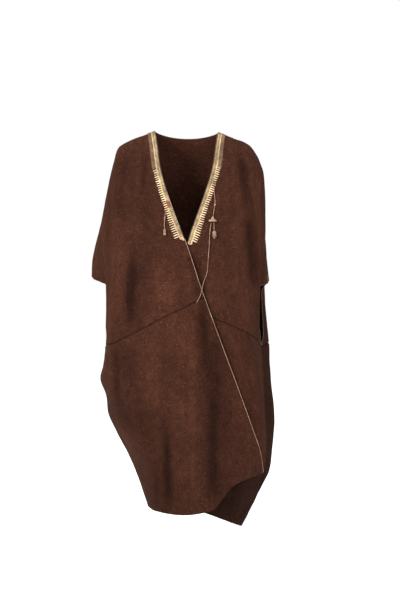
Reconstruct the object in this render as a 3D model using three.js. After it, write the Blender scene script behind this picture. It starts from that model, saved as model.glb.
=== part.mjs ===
// An aba: a wide cloak of coarse dark wool, worn wrapped right front over left front.
// Two loom widths are joined by a level seam half way down; the fronts are folded over to the back at
// the sides, where a slit under the end of the shoulder seam lets the hand out.
//
// Frame: millimetres, +Z up, the wearer faces -Y, +X is the wearer's left.
// The origin lies between the two points where the shoulder seams meet the neck.
//
// Each panel is a wall on a smooth surface P(across, down). "down" runs along the cloth from the
// shoulder seam (0) over the level seam (0.5) to the hem (1). "across" runs over the panel's named lines.
import * as THREE from 'three';

// ---------------------------------------------------------------- sizes
const WALL = 2.0;              // wool cloth
const SEAM_GAP = 0.7;          // between pieces that are sewn together
const CLOTH_DROP = 1317;       // shoulder seam to hem along the cloth: two loom widths
const HALF_SEAM = SEAM_GAP / 2 / CLOTH_DROP;
const NECK_HALF = 117;         // half the neck opening at the shoulder seams
const NECK_BACK_DEPTH = 74;    // shoulder seams to the nape
const NECK_NAPE_DROP = 12;
const V_END_RIGHT = 0.331;     // where the braid of the neck opening ends, down each front edge
const V_END_LEFT = 0.347;
const BRAID_WIDTH = 25;        // gold braid of the neck opening
const BRAID_THICK = 1.2;
const TRIM_GAP = 0.3;          // what lies on a panel stands this far off it
const EDGE_CORD = 2.6;         // couched cord on the front edge
const SLIT_CORD = 3.0;         // cord round the arm slits
const TIE_CORD = 2.5;          // tie cords
const CORD_SIDES = 8;

// ---------------------------------------------------------------- tables
const table = (names, rows) => rows.map(r => Object.fromEntries(names.map((n, i) => [n, r[i]])));
const section = rows => table(['down', 'x', 'y', 'z'], rows);

// Right front: its lines hang from the neck, mid shoulder, shoulder tip, mid sleeve and sleeve corner.
const RIGHT = {
  edge: section([
    [0, -115, -2, 7], [0.03, -110, -32, -9], [0.06, -104, -54, -44], [0.14, -88, -86, -150],
    [0.20, -65, -101, -233], [0.26, -38, -115, -310], [0.335, -4, -126, -397], [0.40, 24, -134, -478],
    [0.462, 49, -138, -556], [0.5, 65, -139, -601], [0.56, 91, -139, -672], [0.62, 119, -137, -748],
    [0.75, 179, -129, -909], [0.88, 237, -104, -1070], [0.94, 263, -84, -1146], [1, 277, -60, -1228]]),
  chest: section([
    [0, -187, 3, -20], [0.03, -184, -30, -32], [0.06, -180, -52, -66], [0.14, -167, -90, -168],
    [0.26, -145, -116, -335], [0.38, -120, -131, -505], [0.5, -92, -139, -680], [0.62, -38, -143, -815],
    [0.75, 28, -146, -965], [0.88, 95, -142, -1112], [1, 165, -126, -1245]]),
  tip: section([
    [0, -251, 6, -66], [0.03, -254, -24, -78], [0.06, -254, -44, -104], [0.14, -251, -72, -190],
    [0.26, -247, -88, -360], [0.38, -244, -98, -545], [0.5, -243, -104, -757], [0.62, -180, -118, -888],
    [0.75, -100, -129, -1035], [0.88, -10, -134, -1185], [1, 88, -128, -1338]]),
  sleeve: section([
    [0, -298, 4, -286], [0.03, -299, -24, -290], [0.06, -298, -42, -302], [0.14, -292, -62, -352],
    [0.26, -284, -72, -458], [0.38, -279, -70, -602], [0.5, -278, -64, -768], [0.62, -265, -72, -908],
    [0.75, -203, -92, -1060], [0.88, -113, -108, -1208], [1, -25, -118, -1354]]),
  side: section([
    [0, -344, 0, -525], [0.06, -331, -14, -533], [0.14, -304, -29, -544], [0.2, -286, -38, -556],
    [0.26, -285, -40, -606], [0.38, -288, -32, -690], [0.5, -291, -12, -776], [0.56, -303, -6, -850],
    [0.60, -315, -1, -898], [0.645, -294, 2, -956], [0.70, -284, 4, -1029], [0.76, -255, 4, -1090],
    [0.82, -220, 6, -1155], [0.90, -180, 8, -1245], [0.95, -159, 8, -1306], [1, -141, 10, -1362]]),
};

// Left front: the same lines, its free edge hidden under the right front.
const LEFT = {
  edge: section([
    [0, 119, -2, 2], [0.03, 115, -32, -12], [0.06, 110, -54, -46], [0.14, 94, -86, -150],
    [0.20, 69, -101, -233], [0.26, 42, -113, -310], [0.335, 14, -122, -392], [0.40, -7, -124, -476],
    [0.5, -31, -126, -630], [0.62, -48, -127, -790], [0.75, -62, -122, -958], [0.88, -76, -106, -1126],
    [1, -90, -80, -1290]]),
  chest: section([
    [0, 186, 3, -24], [0.03, 185, -30, -36], [0.06, 182, -52, -68], [0.14, 174, -88, -170],
    [0.26, 156, -112, -335], [0.38, 131, -126, -504], [0.5, 95, -130, -672], [0.62, 76, -130, -826],
    [0.75, 52, -128, -992], [0.88, 24, -120, -1160], [1, -4, -106, -1332]]),
  tip: section([
    [0, 255, 5, -76], [0.03, 258, -24, -90], [0.06, 258, -42, -114], [0.14, 254, -68, -205],
    [0.26, 244, -84, -373], [0.38, 228, -98, -549], [0.5, 205, -113, -720], [0.62, 195, -115, -876],
    [0.75, 172, -115, -1043], [0.88, 132, -110, -1214], [1, 88, -98, -1367]]),
  sleeve: section([
    [0, 286, 4, -262], [0.03, 287, -22, -268], [0.06, 286, -38, -284], [0.14, 281, -58, -345],
    [0.26, 270, -66, -458], [0.38, 260, -66, -601], [0.5, 251, -64, -748], [0.62, 260, -68, -902],
    [0.75, 262, -74, -1071], [0.88, 223, -76, -1247], [1, 148, -74, -1396]]),
  side: section([
    [0, 303, 0, -540], [0.06, 293, -12, -547], [0.14, 274, -27, -554], [0.2, 259, -38, -562],
    [0.26, 259, -40, -610], [0.38, 264, -32, -692], [0.5, 273, -12, -780], [0.6, 280, -8, -901],
    [0.71, 291, -5, -1046], [0.77, 298, -3, -1119], [0.85, 306, -2, -1226], [0.90, 276, -8, -1290],
    [0.95, 241, -14, -1361], [1, 204, -18, -1431]]),
};

// Back: from the wearer's right side over the nape to the left side. Its two side lines are the fronts'
// below the slits; the slits' back edges stand behind the fronts'.
const SLIT_BACK_RIGHT = section([
  [0, -344, 0, -525], [0.06, -334, 15, -531], [0.14, -311, 31, -542], [0.2, -290, 41, -556],
  [0.26, -285, 42, -606], [0.38, -286, 26, -690], [0.46, -290, 2, -748]]);
const SLIT_BACK_LEFT = section([
  [0, 303, 0, -540], [0.06, 298, 14, -546], [0.14, 288, 28, -556], [0.2, 280, 38, -572],
  [0.26, 281, 38, -612], [0.38, 284, 22, -692], [0.46, 281, -2, -752]]);
const BACK = {
  rightSleeve: section([
    [0, -298, 4, -286], [0.03, -301, 30, -290], [0.06, -302, 48, -302], [0.14, -300, 64, -352],
    [0.26, -294, 70, -460], [0.38, -290, 66, -605], [0.5, -288, 58, -764], [0.62, -296, 62, -912],
    [0.75, -260, 66, -1066], [0.88, -196, 70, -1215], [1, -138, 66, -1367]]),
  rightTip: section([
    [0, -251, 6, -66], [0.03, -254, 36, -78], [0.06, -254, 54, -102], [0.14, -252, 76, -192],
    [0.26, -248, 86, -365], [0.38, -244, 92, -550], [0.5, -240, 94, -742], [0.62, -240, 98, -893],
    [0.75, -214, 102, -1046], [0.88, -166, 104, -1200], [1, -114, 100, -1366]]),
  rightBlade: section([
    [0, -187, 3, -20], [0.03, -185, 36, -32], [0.06, -184, 60, -62], [0.14, -178, 90, -165],
    [0.26, -172, 106, -335], [0.38, -168, 114, -518], [0.5, -166, 117, -700], [0.62, -160, 120, -850],
    [0.75, -140, 122, -1010], [0.88, -112, 124, -1178], [1, -78, 122, -1359]]),
  rightNeck: section([
    [0, -115, -2, 7], [0.03, -113, 32, -10], [0.06, -111, 60, -42], [0.14, -106, 94, -145],
    [0.26, -100, 113, -312], [0.38, -98, 120, -492], [0.5, -96, 123, -676], [0.62, -90, 126, -835],
    [0.75, -74, 128, -1002], [0.88, -54, 130, -1176], [1, -34, 128, -1355]]),
  centre: section([
    [0, 2, 72, -8], [0.03, 2, 85, -44], [0.06, 2, 94, -82], [0.14, 2, 108, -186],
    [0.26, 2, 116, -346], [0.38, 2, 120, -506], [0.5, 3, 122, -670], [0.62, 6, 125, -828],
    [0.75, 12, 127, -998], [0.88, 18, 129, -1174], [1, 26, 128, -1352]]),
  leftNeck: section([
    [0, 119, -2, 2], [0.03, 118, 32, -14], [0.06, 116, 58, -44], [0.14, 110, 94, -146],
    [0.26, 106, 113, -312], [0.38, 102, 120, -492], [0.5, 100, 122, -676], [0.62, 104, 125, -838],
    [0.75, 104, 128, -1008], [0.88, 98, 129, -1182], [1, 86, 127, -1359]]),
  leftBlade: section([
    [0, 186, 3, -24], [0.03, 185, 36, -36], [0.06, 184, 60, -66], [0.14, 180, 90, -168],
    [0.26, 176, 106, -338], [0.38, 173, 113, -518], [0.5, 172, 115, -700], [0.62, 178, 118, -858],
    [0.75, 182, 121, -1026], [0.88, 168, 122, -1198], [1, 138, 118, -1371]]),
  leftTip: section([
    [0, 255, 5, -76], [0.03, 259, 34, -90], [0.06, 260, 52, -112], [0.14, 258, 74, -205],
    [0.26, 254, 86, -375], [0.38, 250, 90, -555], [0.5, 248, 90, -742], [0.62, 258, 96, -892],
    [0.75, 264, 98, -1054], [0.88, 240, 98, -1226], [1, 180, 92, -1389]]),
  leftSleeve: section([
    [0, 286, 4, -262], [0.03, 288, 30, -268], [0.06, 289, 46, -284], [0.14, 290, 64, -345],
    [0.26, 289, 70, -464], [0.38, 293, 64, -610], [0.5, 306, 54, -766], [0.62, 315, 52, -912],
    [0.75, 326, 50, -1078], [0.88, 291, 48, -1250], [1, 206, 42, -1413]]),
};

// Shoulder seams: "along" is 0 at the neck, 0.5 at the shoulder tip and 1 at the sleeve corner.
const SHOULDER_RIGHT = table(['along', 'x', 'y', 'z'], [
  [0, -115, -2, 7], [0.12, -151, 1, -8], [0.25, -187, 3, -20], [0.33, -210, 4, -30], [0.42, -234, 5, -43],
  [0.47, -246, 6, -53], [0.5, -251, 6, -66], [0.54, -256, 6, -95], [0.6, -267, 6, -148], [0.7, -286, 5, -238],
  [0.8, -310, 4, -332], [0.9, -334, 2, -425], [0.95, -342, 1, -470], [1, -344, 0, -525]]);
const SHOULDER_LEFT = table(['along', 'x', 'y', 'z'], [
  [0, 119, -2, 2], [0.12, 152, 1, -12], [0.25, 186, 3, -24], [0.35, 212, 4, -33], [0.43, 236, 5, -49],
  [0.5, 255, 5, -76], [0.57, 270, 5, -110], [0.64, 282, 5, -150], [0.7, 286, 5, -200], [0.75, 286, 4, -262],
  [0.85, 287, 3, -370], [0.92, 293, 2, -445], [1, 303, 0, -540]]);

// The right front's hem swings up to its free corner.
const HEM_RIGHT = table(['across', 'x', 'y', 'z'], [
  [0, 277, -60, -1228], [0.10, 230, -98, -1236], [0.25, 168, -122, -1259], [0.38, 133, -128, -1299],
  [0.47, 101, -129, -1340], [0.56, 62, -127, -1352], [0.7, 0, -120, -1362], [0.87, -88, -98, -1358],
  [0.94, -120, -50, -1362], [1, -141, 10, -1362]]);

// Folds: a straight line down the cloth as seen from the front, the width to each side where the fold has
// faded to a third, and its depth: plus is a trough, minus a ridge. The cloth behind follows.
const FRONT_FOLDS = table(['x1', 'z1', 'x2', 'z2', 'width', 'depth'], [
  [195, -80, 222, -300, 15, 13],       // valley between chest and left arm
  [222, -300, 249, -575, 17, 17],
  [196, -150, 200, -520, 20, -5],
  [268, -150, 262, -420, 14, -5],
  [-214, -80, -236, -330, 20, 6],      // soft dips over the right arm
  [-184, -430, -196, -700, 16, 9],
  [-230, -430, -246, -640, 14, -6],
  [62, -650, 76, -880, 18, 9],         // trough below the seam, shifting towards the left foot
  [98, -880, 96, -1330, 21, 11],
  [30, -690, 34, -1300, 18, -6],
  [-62, -1060, -54, -1340, 16, 8],
  [-246, -760, -238, -980, 15, 6],
  [-112, -690, -98, -980, 20, -5],
  [-220, -860, -150, -1120, 22, -6],
]);
const BACK_FOLDS = table(['x1', 'z1', 'x2', 'z2', 'width', 'depth'], [
  [-196, -170, -176, -1340, 22, 15],
  [-140, -300, -128, -1380, 22, -10],
  [-78, -150, -64, -1380, 24, 17],
  [-20, -330, -6, -1380, 24, -10],
  [48, -120, 44, -1380, 24, 16],
  [98, -420, 92, -1380, 22, -9],
  [150, -170, 122, -1380, 24, 18],
  [206, -260, 196, -1200, 20, -8],
  [232, -420, 214, -1240, 18, 11],
  [-232, -330, -214, -1100, 18, 9],
]);

// ---------------------------------------------------------------- curves
function hermite(ts, vs, t) {
  const n = ts.length;
  let i = 0;
  while (i < n - 2 && t > ts[i + 1]) i++;
  const slope = k => (vs[k + 1] - vs[k]) / (ts[k + 1] - ts[k]);
  const tangent = k => {
    if (k === 0) return slope(0);
    if (k === n - 1) return slope(n - 2);
    const h0 = ts[k] - ts[k - 1], h1 = ts[k + 1] - ts[k];
    return (slope(k - 1) * h1 + slope(k) * h0) / (h0 + h1);
  };
  const h = ts[i + 1] - ts[i], u = (t - ts[i]) / h;
  const u2 = u * u, u3 = u2 * u;
  return (2 * u3 - 3 * u2 + 1) * vs[i] + (u3 - 2 * u2 + u) * h * tangent(i)
    + (-2 * u3 + 3 * u2) * vs[i + 1] + (u3 - u2) * h * tangent(i + 1);
}
const curve = (rows, key) => {
  const ts = rows.map(r => r[key]);
  const cols = ['x', 'y', 'z'].map(k => rows.map(r => r[k]));
  return t => cols.map(c => hermite(ts, c, t));
};
const clamp = (v, lo, hi) => Math.min(hi, Math.max(lo, v));
const smooth = (a, b, t) => { const u = clamp((t - a) / (b - a), 0, 1); return u * u * (3 - 2 * u); };
const add = (a, b, k = 1) => [a[0] + b[0] * k, a[1] + b[1] * k, a[2] + b[2] * k];
const sub = (a, b) => [a[0] - b[0], a[1] - b[1], a[2] - b[2]];
const cross = (a, b) => [a[1] * b[2] - a[2] * b[1], a[2] * b[0] - a[0] * b[2], a[0] * b[1] - a[1] * b[0]];
const length = a => Math.hypot(a[0], a[1], a[2]);
const unit = a => { const l = length(a); return [a[0] / l, a[1] / l, a[2] / l]; };

function folded(p, folds, towards, share) {
  let depth = 0;
  for (const f of folds) {
    const dx = f.x2 - f.x1, dz = f.z2 - f.z1, l = Math.hypot(dx, dz);
    const along = ((p[0] - f.x1) * dx + (p[2] - f.z1) * dz) / l;
    const aside = ((p[0] - f.x1) * dz - (p[2] - f.z1) * dx) / l;
    const fade = smooth(-0.05 * l, 0.3 * l, along) * smooth(1.12 * l, 0.75 * l, along);
    depth += f.depth * Math.exp(-((aside / f.width) ** 2)) * fade;
  }
  return [p[0], p[1] + towards * depth * share, p[2]];
}

// ---------------------------------------------------------------- surfaces
// A surface is the curve across its lines at one level, corrected to the shoulder seam at its top and to
// its hem at the bottom, then folded.
function surface({ lines, at, top, hem, folds, towards, sides }) {
  const downs = lines.map(l => (typeof l === 'function' ? l : curve(l, 'down')));
  const base = (a, d) => {
    const pts = downs.map(c => c(d));
    return [0, 1, 2].map(k => hermite(at, pts.map(p => p[k]), a));
  };
  return (a, d) => {
    let p = base(a, d);
    if (d < 0.16) p = add(p, sub(top(a), base(a, 0)), (1 - d / 0.16) ** 2);
    if (hem && d > 0.84) p = add(p, sub(hem(a), base(a, 1)), smooth(0.84, 1, d));
    // folds fade out at the shoulder seam and at the side folds, which two panels share
    return folded(p, folds, towards, smooth(0, 0.06, d) * sides(a));
  };
}
const FRONT_AT = [0, 0.25, 0.5, 0.75, 1];
const BACK_AT = [0, 0.1, 0.2, 0.3, 0.4, 0.5, 0.6, 0.7, 0.8, 0.9, 1];
const seamRight = curve(SHOULDER_RIGHT, 'along');
const seamLeft = curve(SHOULDER_LEFT, 'along');
const hemRight = curve(HEM_RIGHT, 'across');
const front = (set, top, hem) => surface({
  lines: [set.edge, set.chest, set.tip, set.sleeve, set.side], at: FRONT_AT, top, hem,
  folds: FRONT_FOLDS, towards: 1, sides: a => smooth(1, 0.86, a) });
const frontRight = front(RIGHT, seamRight, hemRight);
const frontLeft = front(LEFT, seamLeft, null);
function backTop(a) {
  if (a <= 0.4) return seamRight(1 - a / 0.4);
  if (a >= 0.6) return seamLeft((a - 0.6) / 0.4);
  const turn = Math.PI * (a - 0.4) / 0.2;
  const x = 2 - NECK_HALF * Math.cos(turn), y = -2 + NECK_BACK_DEPTH * Math.sin(turn);
  const z = 7 - 5 * (a - 0.4) / 0.2 - NECK_NAPE_DROP * Math.sin(turn) ** 2;
  return [x, y, z];
}
// A side line of the back: the slit's own edge, then the front's side fold from the level seam down.
const below = (slit, side) => {
  const fold = curve(side, 'down'), edge = curve([...slit, side.find(r => r.down === 0.5)], 'down');
  return t => (t >= 0.5 ? fold(t) : edge(t));
};
const back = surface({
  lines: [below(SLIT_BACK_RIGHT, RIGHT.side), BACK.rightSleeve, BACK.rightTip, BACK.rightBlade,
    BACK.rightNeck, BACK.centre, BACK.leftNeck, BACK.leftBlade, BACK.leftTip, BACK.leftSleeve,
    below(SLIT_BACK_LEFT, LEFT.side)],
  at: BACK_AT, top: backTop, hem: null, folds: BACK_FOLDS, towards: -1,
  sides: a => smooth(0, 0.07, a) * smooth(1, 0.93, a) });

// ---------------------------------------------------------------- grids
const upperRows = vEnd => [0, 0.03, 0.065, 0.11, 0.155, 0.2, 0.25, 0.29, vEnd, 0.385, 0.44, 0.5];
const RIGHT_UPPER_ROWS = upperRows(V_END_RIGHT), LEFT_UPPER_ROWS = upperRows(V_END_LEFT);
const V_END_ROW = 8;
const BACK_UPPER_ROWS = [0, BRAID_WIDTH / CLOTH_DROP, 0.05, 0.09, 0.14, 0.2, 0.27, 0.34, 0.42, 0.5];
const LOWER_ROWS = [0.5, 0.55, 0.6, 0.645, 0.7, 0.755, 0.805, 0.85, 0.9, 0.95, 1];
const FRONT_COLUMNS = 14;

// The first column along a front's neck edge is as wide as the braid that lies on it.
function frontColumns(surf) {
  return down => {
    const h = 0.02, speed = length(sub(surf(h, down), surf(0, down))) / h;
    const first = clamp(BRAID_WIDTH / speed, 0.03, 0.12);
    const cols = [0];
    for (let i = 1; i <= FRONT_COLUMNS; i++) {
      cols.push(i <= 7 ? first + (0.5 - first) * (i - 1) / 6 : 0.5 + 0.5 * (i - 7) / 7);
    }
    return cols;
  };
}
const rightColumns = frontColumns(frontRight), leftColumns = frontColumns(frontLeft);
const NECK_STEPS = 8;
const backStops = [
  ...rightColumns(0).map(r => 0.4 * (1 - r)).reverse(),
  ...Array.from({ length: NECK_STEPS - 1 }, (_, i) => 0.4 + 0.2 * (i + 1) / NECK_STEPS),
  ...leftColumns(0).map(r => 0.6 + 0.4 * r)];
const backColumns = () => backStops;

// A panel's grid of points and outward normals. Where two panels meet at a shoulder seam or a side fold,
// the normal stands square to the line and to Y, the same for both.
function grid({ surf, rows, columns, outward, first, last, isSideFold, isSeamTop }) {
  const out = [];
  const e = 0.002;
  rows.forEach((row, j) => {
    const atTop = j === 0, atEnd = j === rows.length - 1;
    const down = atTop && first ? row + HALF_SEAM : atEnd && last ? row - HALF_SEAM : row;
    const line = columns(row).map((col, i, all) => {
      const side = isSideFold ? isSideFold(col) : 0;
      const foot = atEnd && last && !side ? CORNER_INSET : 0;   // the slit's foot, where front and back meet
      const across = clamp(col, side < 0 ? SIDE_INSET : foot, side > 0 ? 1 - SIDE_INSET : 1 - foot);
      const p = surf(across, down);
      const a0 = clamp(across - e, 0, 1), a1 = clamp(across + e, 0, 1);
      const centre = row;
      const d0 = clamp(centre - e, 0, 1), d1 = clamp(centre + e, 0, 1);
      const ta = sub(surf(a1, centre), surf(a0, centre)), td = sub(surf(across, d1), surf(across, d0));
      let n = cross(ta, td);
      if (side) n = cross(td, [0, 1, 0]);
      if (atTop && isSeamTop && isSeamTop(col)) n = cross(ta, [0, 1, 0]);
      n = unit(n);
      const away = outward(p, n, { side, top: atTop });
      if (n[0] * away[0] + n[1] * away[1] + n[2] * away[2] < 0) n = n.map(v => -v);
      return { p, n };
    });
    out.push(line);
  });
  return out;
}
const SIDE_INSET = 0.0006, CORNER_INSET = 0.0012;
const outwardFrom = p => unit([p[0] * 0.9, p[1] * 2.2, Math.max(0, p[2] + 120) * 1.5 + 1]);

function wall(points, inner, outer) {
  // points[j][i] with {p, n}; the wall spans from inner to outer along n
  const rows = points.length, cols = points[0].length;
  const pos = [], idx = [];
  const at = (j, i, side) => (j * cols + i) * 2 + side;
  for (const line of points) for (const q of line) {
    pos.push(...add(q.p, q.n, inner), ...add(q.p, q.n, outer));
  }
  const quad = (a, b, c, d) => idx.push(a, b, c, a, c, d);
  for (let j = 0; j < rows - 1; j++) for (let i = 0; i < cols - 1; i++) {
    quad(at(j, i, 1), at(j + 1, i, 1), at(j + 1, i + 1, 1), at(j, i + 1, 1));
    quad(at(j, i, 0), at(j, i + 1, 0), at(j + 1, i + 1, 0), at(j + 1, i, 0));
  }
  for (let i = 0; i < cols - 1; i++) {
    quad(at(0, i, 0), at(0, i, 1), at(0, i + 1, 1), at(0, i + 1, 0));
    quad(at(rows - 1, i, 0), at(rows - 1, i + 1, 0), at(rows - 1, i + 1, 1), at(rows - 1, i, 1));
  }
  for (let j = 0; j < rows - 1; j++) {
    quad(at(j, 0, 0), at(j + 1, 0, 0), at(j + 1, 0, 1), at(j, 0, 1));
    quad(at(j, cols - 1, 0), at(j, cols - 1, 1), at(j + 1, cols - 1, 1), at(j + 1, cols - 1, 0));
  }
  return closed(pos, idx);
}
function closed(pos, idx) {
  const v = i => [pos[i * 3], pos[i * 3 + 1], pos[i * 3 + 2]];
  let volume = 0;
  for (let k = 0; k < idx.length; k += 3) {
    const a = v(idx[k]), b = v(idx[k + 1]), c = v(idx[k + 2]);
    const w = cross(b, c);
    volume += a[0] * w[0] + a[1] * w[1] + a[2] * w[2];
  }
  if (volume < 0) for (let k = 0; k < idx.length; k += 3) [idx[k + 1], idx[k + 2]] = [idx[k + 2], idx[k + 1]];
  const geometry = new THREE.BufferGeometry();
  geometry.setAttribute('position', new THREE.Float32BufferAttribute(pos, 3));
  geometry.setIndex(idx);
  geometry.computeVertexNormals();
  return geometry;
}

const sideLow = col => (col < 1e-6 ? -1 : col > 1 - 1e-6 ? 1 : 0);
const frontSide = col => (col > 1 - 1e-6 ? 1 : 0);
const away = p => outwardFrom(p);
const always = () => true;
const shoulderPart = col => col <= 0.4 + 1e-6 || col >= 0.6 - 1e-6;
const grids = {
  front_right_upper: grid({ surf: frontRight, rows: RIGHT_UPPER_ROWS, columns: rightColumns, outward: away,
    first: true, last: true, isSeamTop: always }),
  front_left_upper: grid({ surf: frontLeft, rows: LEFT_UPPER_ROWS, columns: leftColumns, outward: away,
    first: true, last: true, isSeamTop: always }),
  back_upper: grid({ surf: back, rows: BACK_UPPER_ROWS, columns: backColumns, outward: away,
    first: true, last: true, isSeamTop: shoulderPart }),
  front_right_lower: grid({ surf: frontRight, rows: LOWER_ROWS, columns: rightColumns, outward: away,
    first: true, last: false, isSideFold: frontSide }),
  front_left_lower: grid({ surf: frontLeft, rows: LOWER_ROWS, columns: leftColumns, outward: away,
    first: true, last: false, isSideFold: frontSide }),
  back_lower: grid({ surf: back, rows: LOWER_ROWS, columns: backColumns, outward: away,
    first: true, last: false, isSideFold: sideLow }),
};

// ---------------------------------------------------------------- colours
const paint = (color, roughness = 0.95, metalness = 0) =>
  new THREE.MeshStandardMaterial({ color, roughness, metalness });
const WOOL = paint(0x4b2e22), GOLD = paint(0xa7875a, 0.55, 0.35), CORD = paint(0xb59a72, 0.8), BINDING = paint(0x54402a);

const group = new THREE.Group();
function piece(name, geometry, material) {
  const mesh = new THREE.Mesh(geometry, material);
  mesh.name = name;
  group.add(mesh);
  return mesh;
}
for (const [name, g] of Object.entries(grids)) piece(name, wall(g, -WALL / 2, WALL / 2), WOOL);

// ---------------------------------------------------------------- braid
// The braid lies on the first column of each front's grid, and on the first row of the back's neck.
const lift = WALL / 2 + TRIM_GAP;
const neckBand = g => g.slice(0, V_END_ROW + 1).map(line => [line[0], line[1]]);
piece('neck_braid_right', wall(neckBand(grids.front_right_upper), lift, lift + BRAID_THICK), GOLD);
piece('neck_braid_left', wall(neckBand(grids.front_left_upper), lift, lift + BRAID_THICK), GOLD);
const neckFirst = FRONT_COLUMNS, neckLast = FRONT_COLUMNS + NECK_STEPS;
piece('neck_braid_back', wall(grids.back_upper.slice(0, 2).map(line => line.slice(neckFirst, neckLast + 1)),
  lift, lift + BRAID_THICK), GOLD);

// ---------------------------------------------------------------- cords
// A path through given points, straight from each to the next, with a ring of the section at every point.
class Route extends THREE.Curve {
  constructor(points) {
    super();
    this.points = points.map(p => new THREE.Vector3(...p));
  }
  getPoint(t) {
    const n = this.points.length - 1, i = Math.min(n - 1, Math.floor(t * n + 1e-9));
    return this.points[i].clone().lerp(this.points[i + 1], t * n - i);
  }
  getPointAt(u) { return this.getPoint(u); }
  getTangentAt(u) {
    const n = this.points.length - 1, i = Math.round(u * n);
    return this.points[Math.min(i + 1, n)].clone().sub(this.points[Math.max(i - 1, 0)]).normalize();
  }
}
function tube(points, diameter, sides = CORD_SIDES) {
  const section = new THREE.Shape(Array.from({ length: sides }, (_, k) => {
    const turn = 2 * Math.PI * k / sides;
    return new THREE.Vector2(diameter / 2 * Math.cos(turn), diameter / 2 * Math.sin(turn));
  }));
  return new THREE.ExtrudeGeometry(section,
    { steps: points.length - 1, bevelEnabled: false, extrudePath: new Route(points) });
}
// An edge cord runs along a panel's edge, just outside it.
function alongEdge(g, diameter, column, rows) {
  const away = TRIM_GAP + diameter / 2 + 0.6;
  return rows.map(j => {
    const q = g[j][column], next = g[j][column === 0 ? 1 : column - 1];
    const side = (a, b) => {
      if (!a || !b) return null;
      const m = unit(cross(q.n, sub(b.p, a.p)));
      const out = sub(q.p, next.p);
      return m[0] * out[0] + m[1] * out[1] + m[2] * out[2] < 0 ? m.map(v => -v) : m;
    };
    const m1 = side(g[j - 1]?.[column], q) ?? side(q, g[j + 1]?.[column]);
    const m2 = side(q, g[j + 1]?.[column]) ?? m1;
    const m = unit(add(m1, m2));
    const cos = Math.max(0.5, m[0] * m1[0] + m[1] * m1[1] + m[2] * m1[2]);
    return add(q.p, m, away / cos);
  });
}
const span = (a, b) => Array.from({ length: b - a + 1 }, (_, i) => a + i);
piece('edge_cord_right', tube([
  ...alongEdge(grids.front_right_upper, EDGE_CORD, 0, span(V_END_ROW, RIGHT_UPPER_ROWS.length - 2)),
  ...alongEdge(grids.front_right_lower, EDGE_CORD, 0, span(0, LOWER_ROWS.length - 1))], EDGE_CORD), CORD);
const slitRows = span(2, RIGHT_UPPER_ROWS.length - 2), backSlitRows = span(2, BACK_UPPER_ROWS.length - 2);
piece('slit_cord_right_front', tube(alongEdge(grids.front_right_upper, SLIT_CORD, FRONT_COLUMNS, slitRows), SLIT_CORD), BINDING);
piece('slit_cord_left_front', tube(alongEdge(grids.front_left_upper, SLIT_CORD, FRONT_COLUMNS, slitRows), SLIT_CORD), BINDING);
const backCols = backStops.length - 1;
piece('slit_cord_right_back', tube(alongEdge(grids.back_upper, SLIT_CORD, 0, backSlitRows), SLIT_CORD), BINDING);
piece('slit_cord_left_back', tube(alongEdge(grids.back_upper, SLIT_CORD, backCols, backSlitRows), SLIT_CORD), BINDING);

// ---------------------------------------------------------------- ties
// The tie cords hang on the fronts: their paths are given from the front, and lie on the cloth's facets.
const faces = ['front_right_upper', 'front_right_lower', 'front_left_upper', 'front_left_lower',
  'neck_braid_right', 'neck_braid_left', 'edge_cord_right']
  .map(name => group.children.find(m => m.name === name));
function frontOf(x, z, reach) {
  let best = 0;
  for (const [ox, oz] of [[0, 0], [reach, 0], [-reach, 0], [0, reach], [0, -reach]]) {
    for (const mesh of faces) {
      const p = mesh.geometry.attributes.position, ix = mesh.geometry.index;
      const n = ix ? ix.count : p.count;
      for (let k = 0; k < n; k += 3) {
        const [a, b, c] = [0, 1, 2].map(m => { const v = ix ? ix.getX(k + m) : k + m; return [p.getX(v), p.getY(v), p.getZ(v)]; });
        const px = x + ox, pz = z + oz;
        const det = (b[0] - a[0]) * (c[2] - a[2]) - (c[0] - a[0]) * (b[2] - a[2]);
        if (Math.abs(det) < 1e-9) continue;
        const u = ((px - a[0]) * (c[2] - a[2]) - (c[0] - a[0]) * (pz - a[2])) / det;
        const w = ((b[0] - a[0]) * (pz - a[2]) - (px - a[0]) * (b[2] - a[2])) / det;
        if (u < -1e-9 || w < -1e-9 || u + w > 1 + 1e-9) continue;
        best = Math.min(best, a[1] + u * (b[1] - a[1]) + w * (c[1] - a[1]));
      }
    }
  }
  return best;
}
const route = rows => table(['x', 'z', 'off'], rows);
const TIE_RIGHT = route([[-70, -300, 0.6], [-71, -312, 0.6], [-72, -323, 0.6], [-73, -335, 0.6],
  [-73.5, -348, 0.6], [-72.5, -360, 0.6]]);
const TIE_TOP = route([[95, -172, 0.6], [97, -192, 0.6], [99, -212, 0.6], [101, -232, 0.6], [103, -250, 0.6],
  [104, -266, 0.6], [102, -284, 0.6], [99, -301, 0.6], [97, -317, 0.6]]);
const TIE_SHORT = route([[99, -337, 0.6], [100, -347, 0.6], [100, -357, 0.6], [101, -368, 0.6]]);
const TIE_LONG = route([[90, -341, 0.6], [88, -354, 0.6], [85.5, -376, 0.6], [84, -400, 0.6], [83, -425, 0.6],
  [80.5, -453, 0.6], [78.5, -484, 0.6], [76.5, -510, 0.6], [72.5, -525, 0.6], [66, -540, 1.0], [61, -558, 1.8],
  [57.5, -574, 2.4], [53.5, -590, 1.8], [47.5, -604, 0.8], [39.5, -619, 0.6]]);
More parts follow.
